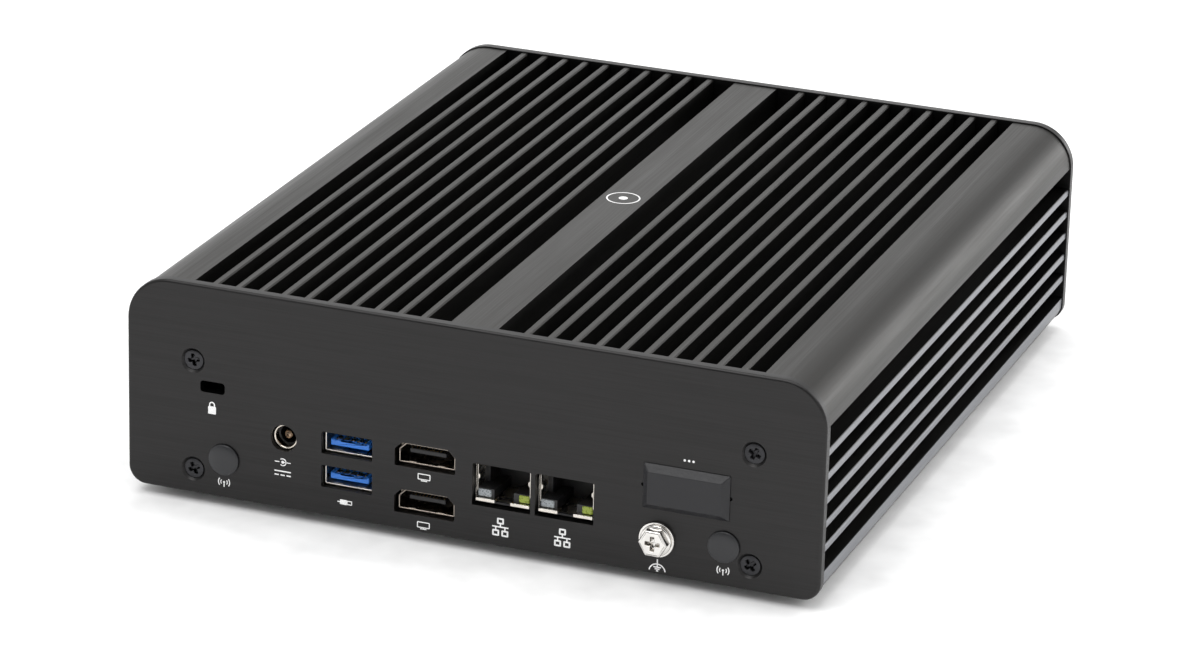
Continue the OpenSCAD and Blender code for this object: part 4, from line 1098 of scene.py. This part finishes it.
class MINIPC_OT_network_jacks(bpy.types.Operator):
    """Two network jacks with indicator windows, ground springs and contact wires"""

    bl_idname = "minipc.network_jacks"
    bl_label = "Network jacks"

    def execute(self, context):
        lo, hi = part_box("network_shells")
        low, high = lo.z / MM, hi.z / MM
        back = -(hi.y - FRONT_LO.y) / MM
        wide, wall, front = 15.9, 0.3, -(lo.y - FRONT_LO.y) / MM
        nose, inner, face = 10.8, 15.3, front - 0.4
        metal, black, wires = Shell(), Shell(), Shell()
        windows = {"clear": Shell(), "green": Shell()}
        for name in ("network_jack_left", "network_jack_right"):
            x = SPOT[name].x / MM
            self.shell(metal, x, low, high, wide, wall, front, back, nose)
            self.housing(black, x, low, high, inner, wall, face, back)
            for side, window_shell, half in ((-1, windows["clear"], 1.9), (1, windows["green"], 1.5)):
                pane = moved(panel_shape(2 * half, 2.1, 0.4), x + side * (7.3 - half), low + 2.35)
                window_shell.block(pane, face - 3.0, face + 0.35, 0.35)
                tab = moved(panel_shape(5.4, 0.9, 0.15), x + side * 4.9, low + 0.72)
                metal.block(tab, face - 2.0, face + 1.2, 0.12)
                liner = moved(panel_shape(0.2, 7.4, 0.09, 2), x + side * 7.4, low + 6.6)
                metal.block(liner, face - 5.0, face + 0.2, 0.05)
                bump = rounded([(0, -1.1), (0.55, -0.4), (0.55, 0.4), (0, 1.1)],
                               [0.1, 0.3, 0.3, 0.1], 4)
                bump = moved(bump, 0, 0, math.pi if side > 0 else 0)
                metal.block(moved(bump, x + side * 7.34, low + 6.9), face - 3.5, face + 0.2, 0.15)
            black.block(moved(panel_shape(15.9, 0.5, 0.1), x, low + 0.2), face - 0.2, face + 0.5)
            for k in range(8):
                self.wire(wires, x + (k - 3.5) * WIRE_PITCH, low)
        make("network_shells_detailed", metal, on_front(), "nickel",
             slot="socket_nickel", replaces=["network_shells"])
        make("network_housings", black, on_front(), "nylon",
             slot="black_nylon", replaces=["network_inserts"])
        make("network_wires", wires, on_front(), "gold", slot="jack_pin")
        make("network_windows_clear", windows["clear"], on_front(), "clear",
             slot="window_clear", replaces=["activity_windows"])
        make("network_windows_green", windows["green"], on_front(), "green",
             slot="window_green", replaces=["link_windows"])
        return {"FINISHED"}

    def shell(self, metal, x, low, high, wide, wall, front, back, nose):
        """Metal shell: a nose in the panel's opening, a larger box behind it, side springs."""
        behind = -(FRONT_HI.y - FRONT_LO.y) / MM - SHELL_GAP
        outline = moved(panel_shape(wide, nose, 0.35), x, low + nose / 2)
        box = moved(panel_shape(wide, high - low, 0.35), x, (low + high) / 2)
        low_loop, high_loop = metal.path(box, [(0, back), (0, behind - 0.05), (-0.15, behind)])
        first, last = metal.path(
            grown(outline, -0.02),
            [(0, behind), (0, front - 0.15), (-0.08, front), (-wall + 0.05, front),
             (-wall, front - 0.1), (-wall, back + wall)],
        )
        metal.cap(high_loop, first)
        metal.cap(last)
        metal.cap(low_loop, up=False)
        for side in (-1, 1):
            spring = moved(
                rounded([(0, -1.6), (0.2, -0.7), (0.2, 0.7), (0, 1.6), (-0.12, 1.6),
                         (-0.12, -1.6)], [0.05, 0.3, 0.3, 0.05, 0.02, 0.02], 4),
                0, 0, 0 if side > 0 else math.pi,
            )
            metal.block(moved(spring, x + side * (wide / 2 - 0.02), low + nose / 2),
                        behind, front - 0.05, 0.05)

    def housing(self, black, x, low, high, inner, wall, face, back):
        """Nylon housing: walls around the plug's space and its latch slot, and a solid back."""
        half, plug, latch, pane = inner / 2 - 0.05, 5.95, 2.7, 3.6
        top, shelf, sill = 10.5, 2.95, 0.7
        corners = [
            (-pane, sill), (-latch, sill), (-latch, shelf), (-plug, shelf), (-plug, top - 0.35),
            (plug, top - 0.35), (plug, shelf), (latch, shelf), (latch, sill), (pane, sill),
            (pane, shelf - 0.15), (half, shelf - 0.15), (half, top), (-half, top),
            (-half, shelf - 0.15), (-pane, shelf - 0.15),
        ]
        outline = moved(rounded(corners, [0.06] * len(corners), 2), x, low)
        black.block(outline, -14.0, face - 5.0, 0.06)
        for side in (-1, 1):
            sill_top = 3.65
            sill_block = moved(panel_shape(half - latch - 0.05, sill_top - sill, 0.15),
                               x + side * (half + latch) / 2, low + (sill_top + sill) / 2)
            black.block(sill_block, face - 5.0, face, 0.1)
        rear = moved(panel_shape(inner, high - low - 2 * wall, 0.3), x, (low + high) / 2)
        black.block(rear, back + wall, -14.0)

    def wire(self, wires, x, low):
        """Contact wire that slants down from the roof of the plug's space."""
        rows = []
        for z, y in ((-4.2, 9.9), (-5.0, 9.75), (-12.0, 6.0), (-13.9, 5.6)):
            first = len(wires.points)
            for dx, dy in ((-1, -1), (1, -1), (1, 1), (-1, 1)):
                wires.points.append((x + dx * 0.17, low + y + dy * 0.1, z))
            rows.append(list(range(first, first + 4)))
        for a, b in zip(rows, rows[1:]):
            wires.strip(b, a)
        wires.cap(rows[0], up=True)
        wires.cap(rows[-1], up=False)


# ---------------------------------------------------------------- covers, plugs, earth, button

class MINIPC_OT_service_cover(bpy.types.Operator):
    """Bevelled blanking cover of the service opening"""

    bl_idname = "minipc.service_cover"
    bl_label = "Service cover"

    def execute(self, context):
        lo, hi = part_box("service_cover")
        wide, tall = (hi.x - lo.x) / MM, (hi.z - lo.z) / MM
        out = (FRONT_LO.y - lo.y) / MM
        deep = -(hi.y - FRONT_LO.y) / MM
        shell = Shell()
        loops = [
            shell.loop(panel_shape(wide - 2 * inset, tall - 2 * inset, 0.3), z)
            for inset, z in ((0.05, 0.05), (0, 0.1), (0, 0.2), (0.06, 0.3), (1.74, out - 0.12),
                             (1.82, out - 0.04), (1.94, out))
        ]
        for below, above in zip(loops, loops[1:]):
            shell.strip(below, above)
        low, high = loops[0], loops[-1]
        legs = panel_shape(17.2, 9.1, 0.4)
        top, foot = shell.path(legs, [(0, 0.05), (0, deep + 0.3), (-0.3, deep), (-1.0, deep),
                                      (-1.2, deep + 0.2), (-1.2, -0.05)])
        shell.cap(high)
        shell.cap(low, top, up=False)
        shell.cap(foot, up=False)
        centre = (lo + hi) / 2
        make("service_cover_detailed", shell, on_front(centre.x, centre.z), "cover",
             body="cover", slot="cover_plastic", replaces=["service_cover"])
        return {"FINISHED"}


class MINIPC_OT_antenna_plugs(bpy.types.Operator):
    """Rubber plugs of the antenna holes"""

    bl_idname = "minipc.antenna_plugs"
    bl_label = "Antenna plugs"

    def execute(self, context):
        for side in ("left", "right"):
            node = f"antenna_plug_{side}"
            lo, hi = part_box(node)
            radius, out = (hi.x - lo.x) / MM / 2, (FRONT_LO.y - lo.y) / MM
            deep = -(hi.y - FRONT_LO.y) / MM
            centre = (lo + hi) / 2
            edge = 0.45
            dome = bend(radius, 0, 1, 14, 0, edge, tall=out - edge)
            shell = Shell()
            shell.lathe([(0, deep), (2.5, deep), (3.0, deep + 0.6), (3.1, deep + 1.6),
                         (2.9, deep + 2.2), (2.9, -0.3), (3.15, 0.05), (radius - 0.08, 0.05),
                         (radius, 0.13)] + dome)
            make(f"antenna_plug_{side}_detailed", shell, on_front(centre.x, centre.z),
                 "plug", body=f"plug_{side}", slot="plug_rubber", replaces=[node])
        return {"FINISHED"}


class MINIPC_OT_earth_terminal(bpy.types.Operator):
    """Earthing screw with its flange, hexagon and cross recess, over a loose washer"""

    bl_idname = "minipc.earth_terminal"
    bl_label = "Earthing screw"

    def execute(self, context):
        spot = SPOT["earth_terminal"]
        place = on_front(spot.x, spot.z)
        lo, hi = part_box("earth_washer")
        radius = (hi.x - lo.x) / MM / 2
        top, low = (FRONT_LO.y - lo.y) / MM, (FRONT_LO.y - hi.y) / MM
        shell = Shell()
        shell.lathe([(2.2, low), (radius - 0.1, low), (radius, low + 0.1), (radius, top - 0.2),
                     (radius - 0.06, top - 0.06), (radius - 0.2, top), (2.3, top),
                     (2.2, top - 0.1)], closed=True)
        make("earth_washer_detailed", shell, place, "earth",
             body="washer", slot="earth_nickel", replaces=["earth_washer"])
        lo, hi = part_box("earth_screw")
        head, deep = (FRONT_LO.y - lo.y) / MM, -(hi.y - FRONT_LO.y) / MM
        flange, hexagon, seat = 4.3, 3.5, 1.0
        shell = Shell()
        shell.lathe([(0, deep), (1.5, deep), (2.0, deep + 0.6), (2.0, seat), (flange - 0.1, seat),
                     (flange, seat + 0.1), (flange, seat + 0.4), (flange - 0.12, seat + 0.6),
                     (flange - 0.35, seat + 0.72), (hexagon, seat + 0.8), (0, seat + 0.8)])
        nut = rounded(ring(hexagon / math.cos(math.pi / 6), 6), [0.25] * 6, 3)
        low, high = shell.path(nut, [(0, seat + 0.5), (0, head - 0.5), (-0.1, head - 0.25),
                                     (-0.34, head - 0.06), (-0.6, head)])
        mouth, floor = shell.path(cross_shape(4.0, 1.1),
                                  [(0.12, head), (0, head - 0.12), (-0.28, head - 1.5)])
        shell.cap(low, up=False)
        shell.cap(high, mouth)
        shell.cap(floor)
        make("earth_screw_detailed", shell, place, "earth",
             body="earth_bolt", slot="earth_nickel", replaces=["earth_screw"])
        dress("earth_insert", "zinc")
        return {"FINISHED"}


class MINIPC_OT_power_button(bpy.types.Operator):
    """Power button with its bezel, lit ring, threaded barrel and moving cap"""

    bl_idname = "minipc.power_button"
    bl_label = "Power button"

    def execute(self, context):
        centre = middle("button_cap")
        place = on_rear(centre.x, centre.z)
        lo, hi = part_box("button_body")
        rim, out = (hi.x - lo.x) / MM / 2, (hi.y - REAR_HI.y) / MM
        deep = (lo.y - REAR_HI.y) / MM
        shell = Shell()
        threads = []
        for k in range(11):
            z = deep + 1.0 + k
            threads += [(6.0, z), (5.75, z + 0.35), (5.75, z + 0.55), (6.0, z + 0.9)]
        soft, seat = 0.5, -6.5
        edge = bend(soft, 0, 1, 5, rim - soft, out - soft)
        shell.lathe([(2.1, deep), (5.5, deep), (5.8, deep + 0.4)] + threads
                    + [(6.0, 0), (rim - 0.1, 0), (rim, 0.1)] + edge
                    + [(5.7, out), (5.5, out - 0.1), (5.5, out - 0.6), (4.6, out - 0.6),
                       (4.6, seat), (2.1, seat)], closed=True)
        make("button_housing", shell, place, "button",
             slot="button_metal", replaces=["button_body"])
        lo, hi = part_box("button_cap")
        radius, top = (hi.x - lo.x) / MM / 2, (hi.y - REAR_HI.y) / MM
        bottom = (lo.y - REAR_HI.y) / MM
        shell = Shell()
        shell.lathe([(0, bottom), (1.8, bottom), (2.0, bottom + 0.2), (2.0, top - 3.0),
                     (radius - 0.1, top - 3.0), (radius, top - 2.9), (radius, top - 0.3),
                     (radius - 0.09, top - 0.09), (radius - 0.3, top), (radius - 1.0, top - 0.02),
                     (radius - 2.6, top - 0.12), (0, top - 0.15)])
        shell.paint = 1
        low, high = top - 0.2, top - 0.1
        line = 0.32
        shell.stroke(bend(1.35, 55 / 90, -235 / 90, 24), line, low, high)
        shell.stroke([(0, 0.35), (0, 1.75)], line, low, high + 0.01)
        make("button_cap_detailed", shell, place, "button", "ink",
             body="button", slot="button_metal", replaces=["button_cap"])
        shell = Shell()
        shell.lathe([(4.62, out - 0.58), (5.48, out - 0.58), (5.48, out - 0.16),
                     (5.4, out - 0.08), (4.7, out - 0.08), (4.62, out - 0.16)], closed=True)
        make("button_light", shell, place, "ring_light",
             slot="ring_light", replaces=["button_ring"])
        dress("button_spring", "zinc")
        dress("button_nut", "zinc")
        dress("light_pipes", "clear")
        return {"FINISHED"}


# ---------------------------------------------------------------- inside

INSIDE = {
    "main_board": "green_board", "board_standoffs": "brass", "board_screws": "zinc",
    "processor": "substrate", "processor_dies": "silicon", "thermal_pad": "pad",
    "heat_spreader": "bare", "spreader_screws": "zinc", "power_inductors": "ferrite",
    "capacitors": "can", "power_transistors": "chip", "network_controllers": "chip",
    "memory_sockets": "nylon", "memory_modules": "green_board", "storage_socket": "nylon",
    "storage_module": "blue_board", "storage_post": "brass", "storage_screw": "zinc",
    "expansion_socket": "nylon", "cell_holder": "nylon", "coin_cell": "cell",
}


class MINIPC_OT_inside(bpy.types.Operator):
    """Finish the boards and the parts inside the case"""

    bl_idname = "minipc.inside"
    bl_label = "Parts inside"

    def execute(self, context):
        for node, finish in INSIDE.items():
            dress(node, finish)
        return {"FINISHED"}


# ---------------------------------------------------------------- printed marks

class Marks(Shell):
    """Printed marks on one face, each drawn around its own middle."""

    def __init__(self):
        super().__init__()
        self.x = self.y = 0.0
        self.low, self.high = 0.0, sizes().ink

    def at(self, x, y):
        self.x, self.y = x, y
        return self

    def line(self, *points, width=None):
        shifted = [(self.x + px, self.y + py) for px, py in points]
        self.stroke(shifted, width or sizes().stroke, self.low, self.high)

    def outline(self, shape, width=None):
        self.band(moved(shape, self.x, self.y), width or sizes().stroke, self.low, self.high)

    def patch(self, shape):
        self.block(moved(shape, self.x, self.y), self.low, self.high)

    def arc(self, radius, start, end, width=None, x=0.0, y=0.0):
        self.line(*bend(radius, start / 90, end / 90, 12, x, y), width=width)


def padlock(marks):
    """Closed padlock."""
    marks.patch(moved(panel_shape(2.3, 2.2, 0.25), 0, -0.65))
    marks.line((-0.7, 0.45), *bend(0.7, 2, 0, 8, 0, 0.9), (0.7, 0.45), width=0.34)


def mast(marks):
    """Antenna mast with waves on both sides."""
    marks.line((0, -0.95), (0, 0.25), width=0.28)
    marks.patch(moved(ring(0.3, 16), 0, 0.45))
    for side in (0, 180):
        for radius in (0.95, 1.65):
            marks.arc(radius, side - 38, side + 38, width=0.26, y=0.45)


def polarity(marks):
    """Barrel plug seen from its end: a ring around a dot."""
    marks.patch(ring(0.42, 20))
    marks.arc(0.98, -130, 130, width=0.26)
    marks.line((0.42, 0), (2.3, 0), width=0.24)
    marks.line((-0.98, 0), (-2.3, 0), width=0.24)


def direct_current(marks):
    """A full bar over three dashes."""
    marks.line((-2.4, 0.55), (2.4, 0.55), width=0.34)
    for x in (-1.75, 0, 1.75):
        marks.line((x - 0.62, -0.55), (x + 0.62, -0.55), width=0.34)


def plug_mark(marks):
    """Type A plug seen from its side."""
    marks.patch(moved(panel_shape(2.0, 1.4, 0.2), -0.9, 0))
    marks.outline(moved(panel_shape(1.3, 0.95, 0.05, 2), 0.85, 0), width=0.24)
    marks.line((-1.9, 0), (-2.6, 0), width=0.3)


def screen_mark(marks):
    """Display on a stand."""
    marks.outline(moved(panel_shape(3.4, 1.5, 0.15), 0, 0.3), width=0.26)
    marks.line((-0.9, -0.85), (0.9, -0.85), width=0.26)
    marks.line((0, -0.45), (0, -0.72), width=0.3)


def network_mark(marks):
    """One box joined to two boxes below it."""
    marks.outline(moved(panel_shape(1.5, 1.3, 0.06, 2), 0, 1.75), width=0.46)
    for x in (-1.3, 1.3):
        marks.outline(moved(panel_shape(1.5, 1.3, 0.06, 2), x, -1.65), width=0.46)
        marks.line((x, -0.77), (x, -0.1), width=0.36)
    marks.line((-2.3, 0.08), (2.3, 0.08), width=0.36)
    marks.line((0, 0.87), (0, 0.26), width=0.36)


def earth_mark(marks):
    """Earth sign inside a half circle."""
    marks.line((0, 1.9), (0, 0.72), width=0.34)
    for half, y in ((1.05, -0.35), (0.68, -0.87), (0.3, -1.39)):
        marks.line((-half, y), (half, y), width=0.34)
    marks.line((0, 0.38), (0, -0.18), width=0.34)
    marks.arc(2.25, 8, 172, width=0.34, y=-1.7)


def three_dots(marks):
    """Three dots in a row."""
    for x in (-1.2, 0, 1.2):
        marks.patch(moved(ring(0.34, 16), x, 0))


def power_mark(marks):
    """Open ring with a bar through its gap."""
    marks.arc(1.2, 125, 415, width=0.3)
    marks.line((0, 0.5), (0, 1.7), width=0.3)


def drive_mark(marks):
    """Stacked discs of a drive."""
    marks.outline(panel_shape(2.2, 2.6, 0.5), width=0.26)
    marks.line((-0.8, 0.35), (0.8, 0.35), width=0.22)
    marks.line((-0.8, -0.4), (0.8, -0.4), width=0.22)


def spark_mark(marks):
    """Mains spark."""
    marks.patch([Vector(p) for p in ((-0.75, -0.15), (0.1, -0.15), (-0.25, -1.4), (0.85, 0.3),
                                     (0.0, 0.3), (0.45, 1.4), (-0.2, 1.4))])


class MINIPC_OT_marks(bpy.types.Operator):
    """Printed marks of both end panels and of the roof"""

    bl_idname = "minipc.marks"
    bl_label = "Printed marks"

    def execute(self, context):
        front = Marks()
        for mount, drop, sign in (
            ("lock_slot", (-0.1, -5.8), padlock),
            ("antenna_hole_left", (0, -6.95), mast), ("antenna_hole_right", (0, -7.1), mast),
            ("power_jack", (-0.2, -6.8), polarity), ("power_jack", (-0.2, -10.0), direct_current),
            ("serial_socket_low", (0.1, -6.45), plug_mark),
            ("video_socket_high", (-0.1, -5.65), screen_mark),
            ("video_socket_low", (-0.1, -6.1), screen_mark),
            ("network_jack_left", (0, -12.25), network_mark),
            ("network_jack_right", (-0.25, -12.2), network_mark),
            ("service_opening", (0.4, 8.6), three_dots), ("earth_terminal", (0.2, -7.65), earth_mark),
        ):
            x, y = spot_on_front(mount)
            sign(front.at(x + drop[0], y + drop[1]))
        make("front_marks", front, on_front(0, FRONT_LO.z), "ink", slot="legend_ink")
        rear = Marks()
        lift = REAR_LO.z / MM
        button = middle("button_cap")
        power_mark(rear.at(-button.x / MM, button.z / MM - lift + 10))
        lo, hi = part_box("light_pipes")
        y = (lo.z + hi.z) / 2 / MM - lift + 5
        spark_mark(rear.at(-lo.x / MM - LIGHT_PIPE_REACH, y))
        drive_mark(rear.at(-hi.x / MM + LIGHT_PIPE_REACH, y))
        x, y = serial_spots("rear_usb_tongues")[0]
        plug_mark(rear.at(-x, y - lift - 6.4))
        make("rear_marks", rear, on_rear(0, REAR_LO.z), "ink", slot="legend_ink")
        roof = Marks()
        self.roof_sign(roof)
        make("roof_mark", roof, on_roof(0, FRONT_LO.y, ROOF_Z), "ink",
             slot="legend_ink")
        return {"FINISHED"}

    def roof_sign(self, roof):
        """Plain ring around a dot, on the flat band of the roof."""
        roof.at(-0.2, 113.5).outline(ring(4.6), width=0.42)
        roof.patch(ring(1.3, 24))


# ---------------------------------------------------------------- studio

# Soft lights: name, place, aim, width, height and power, in metres and watts.
LIGHTS = (
    ("right_box", (1.2, 1.9, 0.25), (0.1, 0.05, 0.03), 1.8, 0.45, 9),
    ("side_box", (1.0, 0.4, 0.9), (0.4, 0.1, 0.0), 0.9, 0.6, 5.5),
    ("back_box", (-0.75, 1.9, 0.75), (0, 0.1, 0.03), 2.0, 0.9, 3.5),
    ("top_box", (-0.1, 0.1, 1.9), (0, -0.1, 0.03), 1.6, 1.2, 15),
    ("front_box", (-0.3, -1.1, 1.5), (0, -0.4, 0.0), 1.2, 0.7, 10),
)


def area_light(name, spot, target, width, height, power):
    """Soft rectangular light that points at the target."""
    data = bpy.data.lights.new(name, "AREA")
    data.shape = "RECTANGLE"
    data.size, data.size_y = width, height
    data.energy = power
    light = bpy.data.objects.new(name, data)
    light.location = spot
    light.rotation_euler = (Vector(target) - Vector(spot)).to_track_quat("-Z", "Y").to_euler()
    light.visible_camera = False
    bpy.context.scene.collection.objects.link(light)


class MINIPC_OT_studio(bpy.types.Operator):
    """Pale floor, soft lights and the camera"""

    bl_idname = "minipc.studio"
    bl_label = "Studio"

    def execute(self, context):
        self.floor()
        self.flag()
        self.lights(context.scene)
        self.camera(context.scene)
        return {"FINISHED"}

    def sheet(self, name, corners, finish):
        """Flat piece of the studio."""
        mesh = bpy.data.meshes.new(name)
        mesh.from_pydata(corners, [], [(0, 1, 2, 3)])
        mesh.materials.append(finish_of(finish))
        sheet = bpy.data.objects.new(name, mesh)
        bpy.context.scene.collection.objects.link(sheet)
        return sheet

    def floor(self):
        half = 6.0
        corners = [(-half, -half, 0), (half, -half, 0), (half, half, 0), (-half, half, 0)]
        self.sheet("floor", corners, "floor")

    def flag(self):
        """Dark card behind the camera, which keeps the front of the sockets from glaring."""
        left, right, behind, low, high = -2.2, 1.4, -2.2, 0.25, 2.6
        corners = [(left, behind, low), (right, behind, low), (right, behind, high),
                   (left, behind, high)]
        flag = self.sheet("flag", corners, "nylon")
        flag.visible_camera = flag.visible_diffuse = flag.visible_shadow = False

    def lights(self, scene):
        world = bpy.data.worlds.new("studio")
        world.use_nodes = True
        sky = world.node_tree.nodes["Background"]
        sky.inputs["Color"].default_value = (1.0, 1.0, 1.0, 1.0)
        sky.inputs["Strength"].default_value = scene.mini_computer_studio.sky
        scene.world = world
        for light in LIGHTS:
            area_light(*light)
        scene.view_settings.view_transform = "Standard"
        scene.view_settings.look = "None"

    def camera(self, scene):
        studio = scene.mini_computer_studio
        ahead = Vector((
            -math.sin(studio.azimuth) * math.cos(studio.elevation),
            math.cos(studio.azimuth) * math.cos(studio.elevation),
            -math.sin(studio.elevation),
        ))
        right = ahead.cross(Vector((0, 0, 1))).normalized()
        up = right.cross(ahead)
        side = right * math.cos(studio.roll) + up * math.sin(studio.roll)
        top = up * math.cos(studio.roll) - right * math.sin(studio.roll)
        spot = Vector(studio.aim) - ahead * studio.distance
        data = bpy.data.cameras.new("camera")
        data.lens, data.sensor_width = studio.lens, 36.0
        data.clip_start, data.clip_end = 0.05, 30.0
        camera = bpy.data.objects.new("camera", data)
        turn = Matrix((side, top, -ahead)).transposed().to_4x4()
        camera.matrix_world = Matrix.Translation(spot) @ turn
        scene.collection.objects.link(camera)
        scene.camera = camera


# ---------------------------------------------------------------- add-on

STEPS = (
    MINIPC_OT_case, MINIPC_OT_front_panel, MINIPC_OT_back_panel, MINIPC_OT_screws,
    MINIPC_OT_feet, MINIPC_OT_power_jack, MINIPC_OT_serial_sockets, MINIPC_OT_video_sockets,
    MINIPC_OT_network_jacks, MINIPC_OT_service_cover, MINIPC_OT_antenna_plugs,
    MINIPC_OT_earth_terminal, MINIPC_OT_power_button, MINIPC_OT_inside, MINIPC_OT_marks,
    MINIPC_OT_studio,
)


class MINIPC_PT_panel(bpy.types.Panel):
    """Lists the pieces of the mini computer"""

    bl_idname = "MINIPC_PT_panel"
    bl_label = "Mini computer"
    bl_space_type = "VIEW_3D"
    bl_region_type = "UI"
    bl_category = "Mini computer"

    def draw(self, context):
        for step in STEPS:
            self.layout.operator(step.bl_idname)


GROUPS = {
    "mini_computer_sizes": CaseSizes,
    "mini_computer_colours": CaseColours,
    "mini_computer_studio": StudioSettings,
}


def register():
    for group in (*GROUPS.values(), *STEPS, MINIPC_PT_panel):
        bpy.utils.register_class(group)
    for name, group in GROUPS.items():
        setattr(bpy.types.Scene, name, bpy.props.PointerProperty(type=group))


def unregister():
    for name in GROUPS:
        delattr(bpy.types.Scene, name)
    for group in (MINIPC_PT_panel, *reversed(STEPS), *GROUPS.values()):
        bpy.utils.unregister_class(group)


def main():
    register()
    for step in STEPS:
        group, name = step.bl_idname.split(".")
        getattr(getattr(bpy.ops, group), name)()


if __name__ == "__main__":
    main()
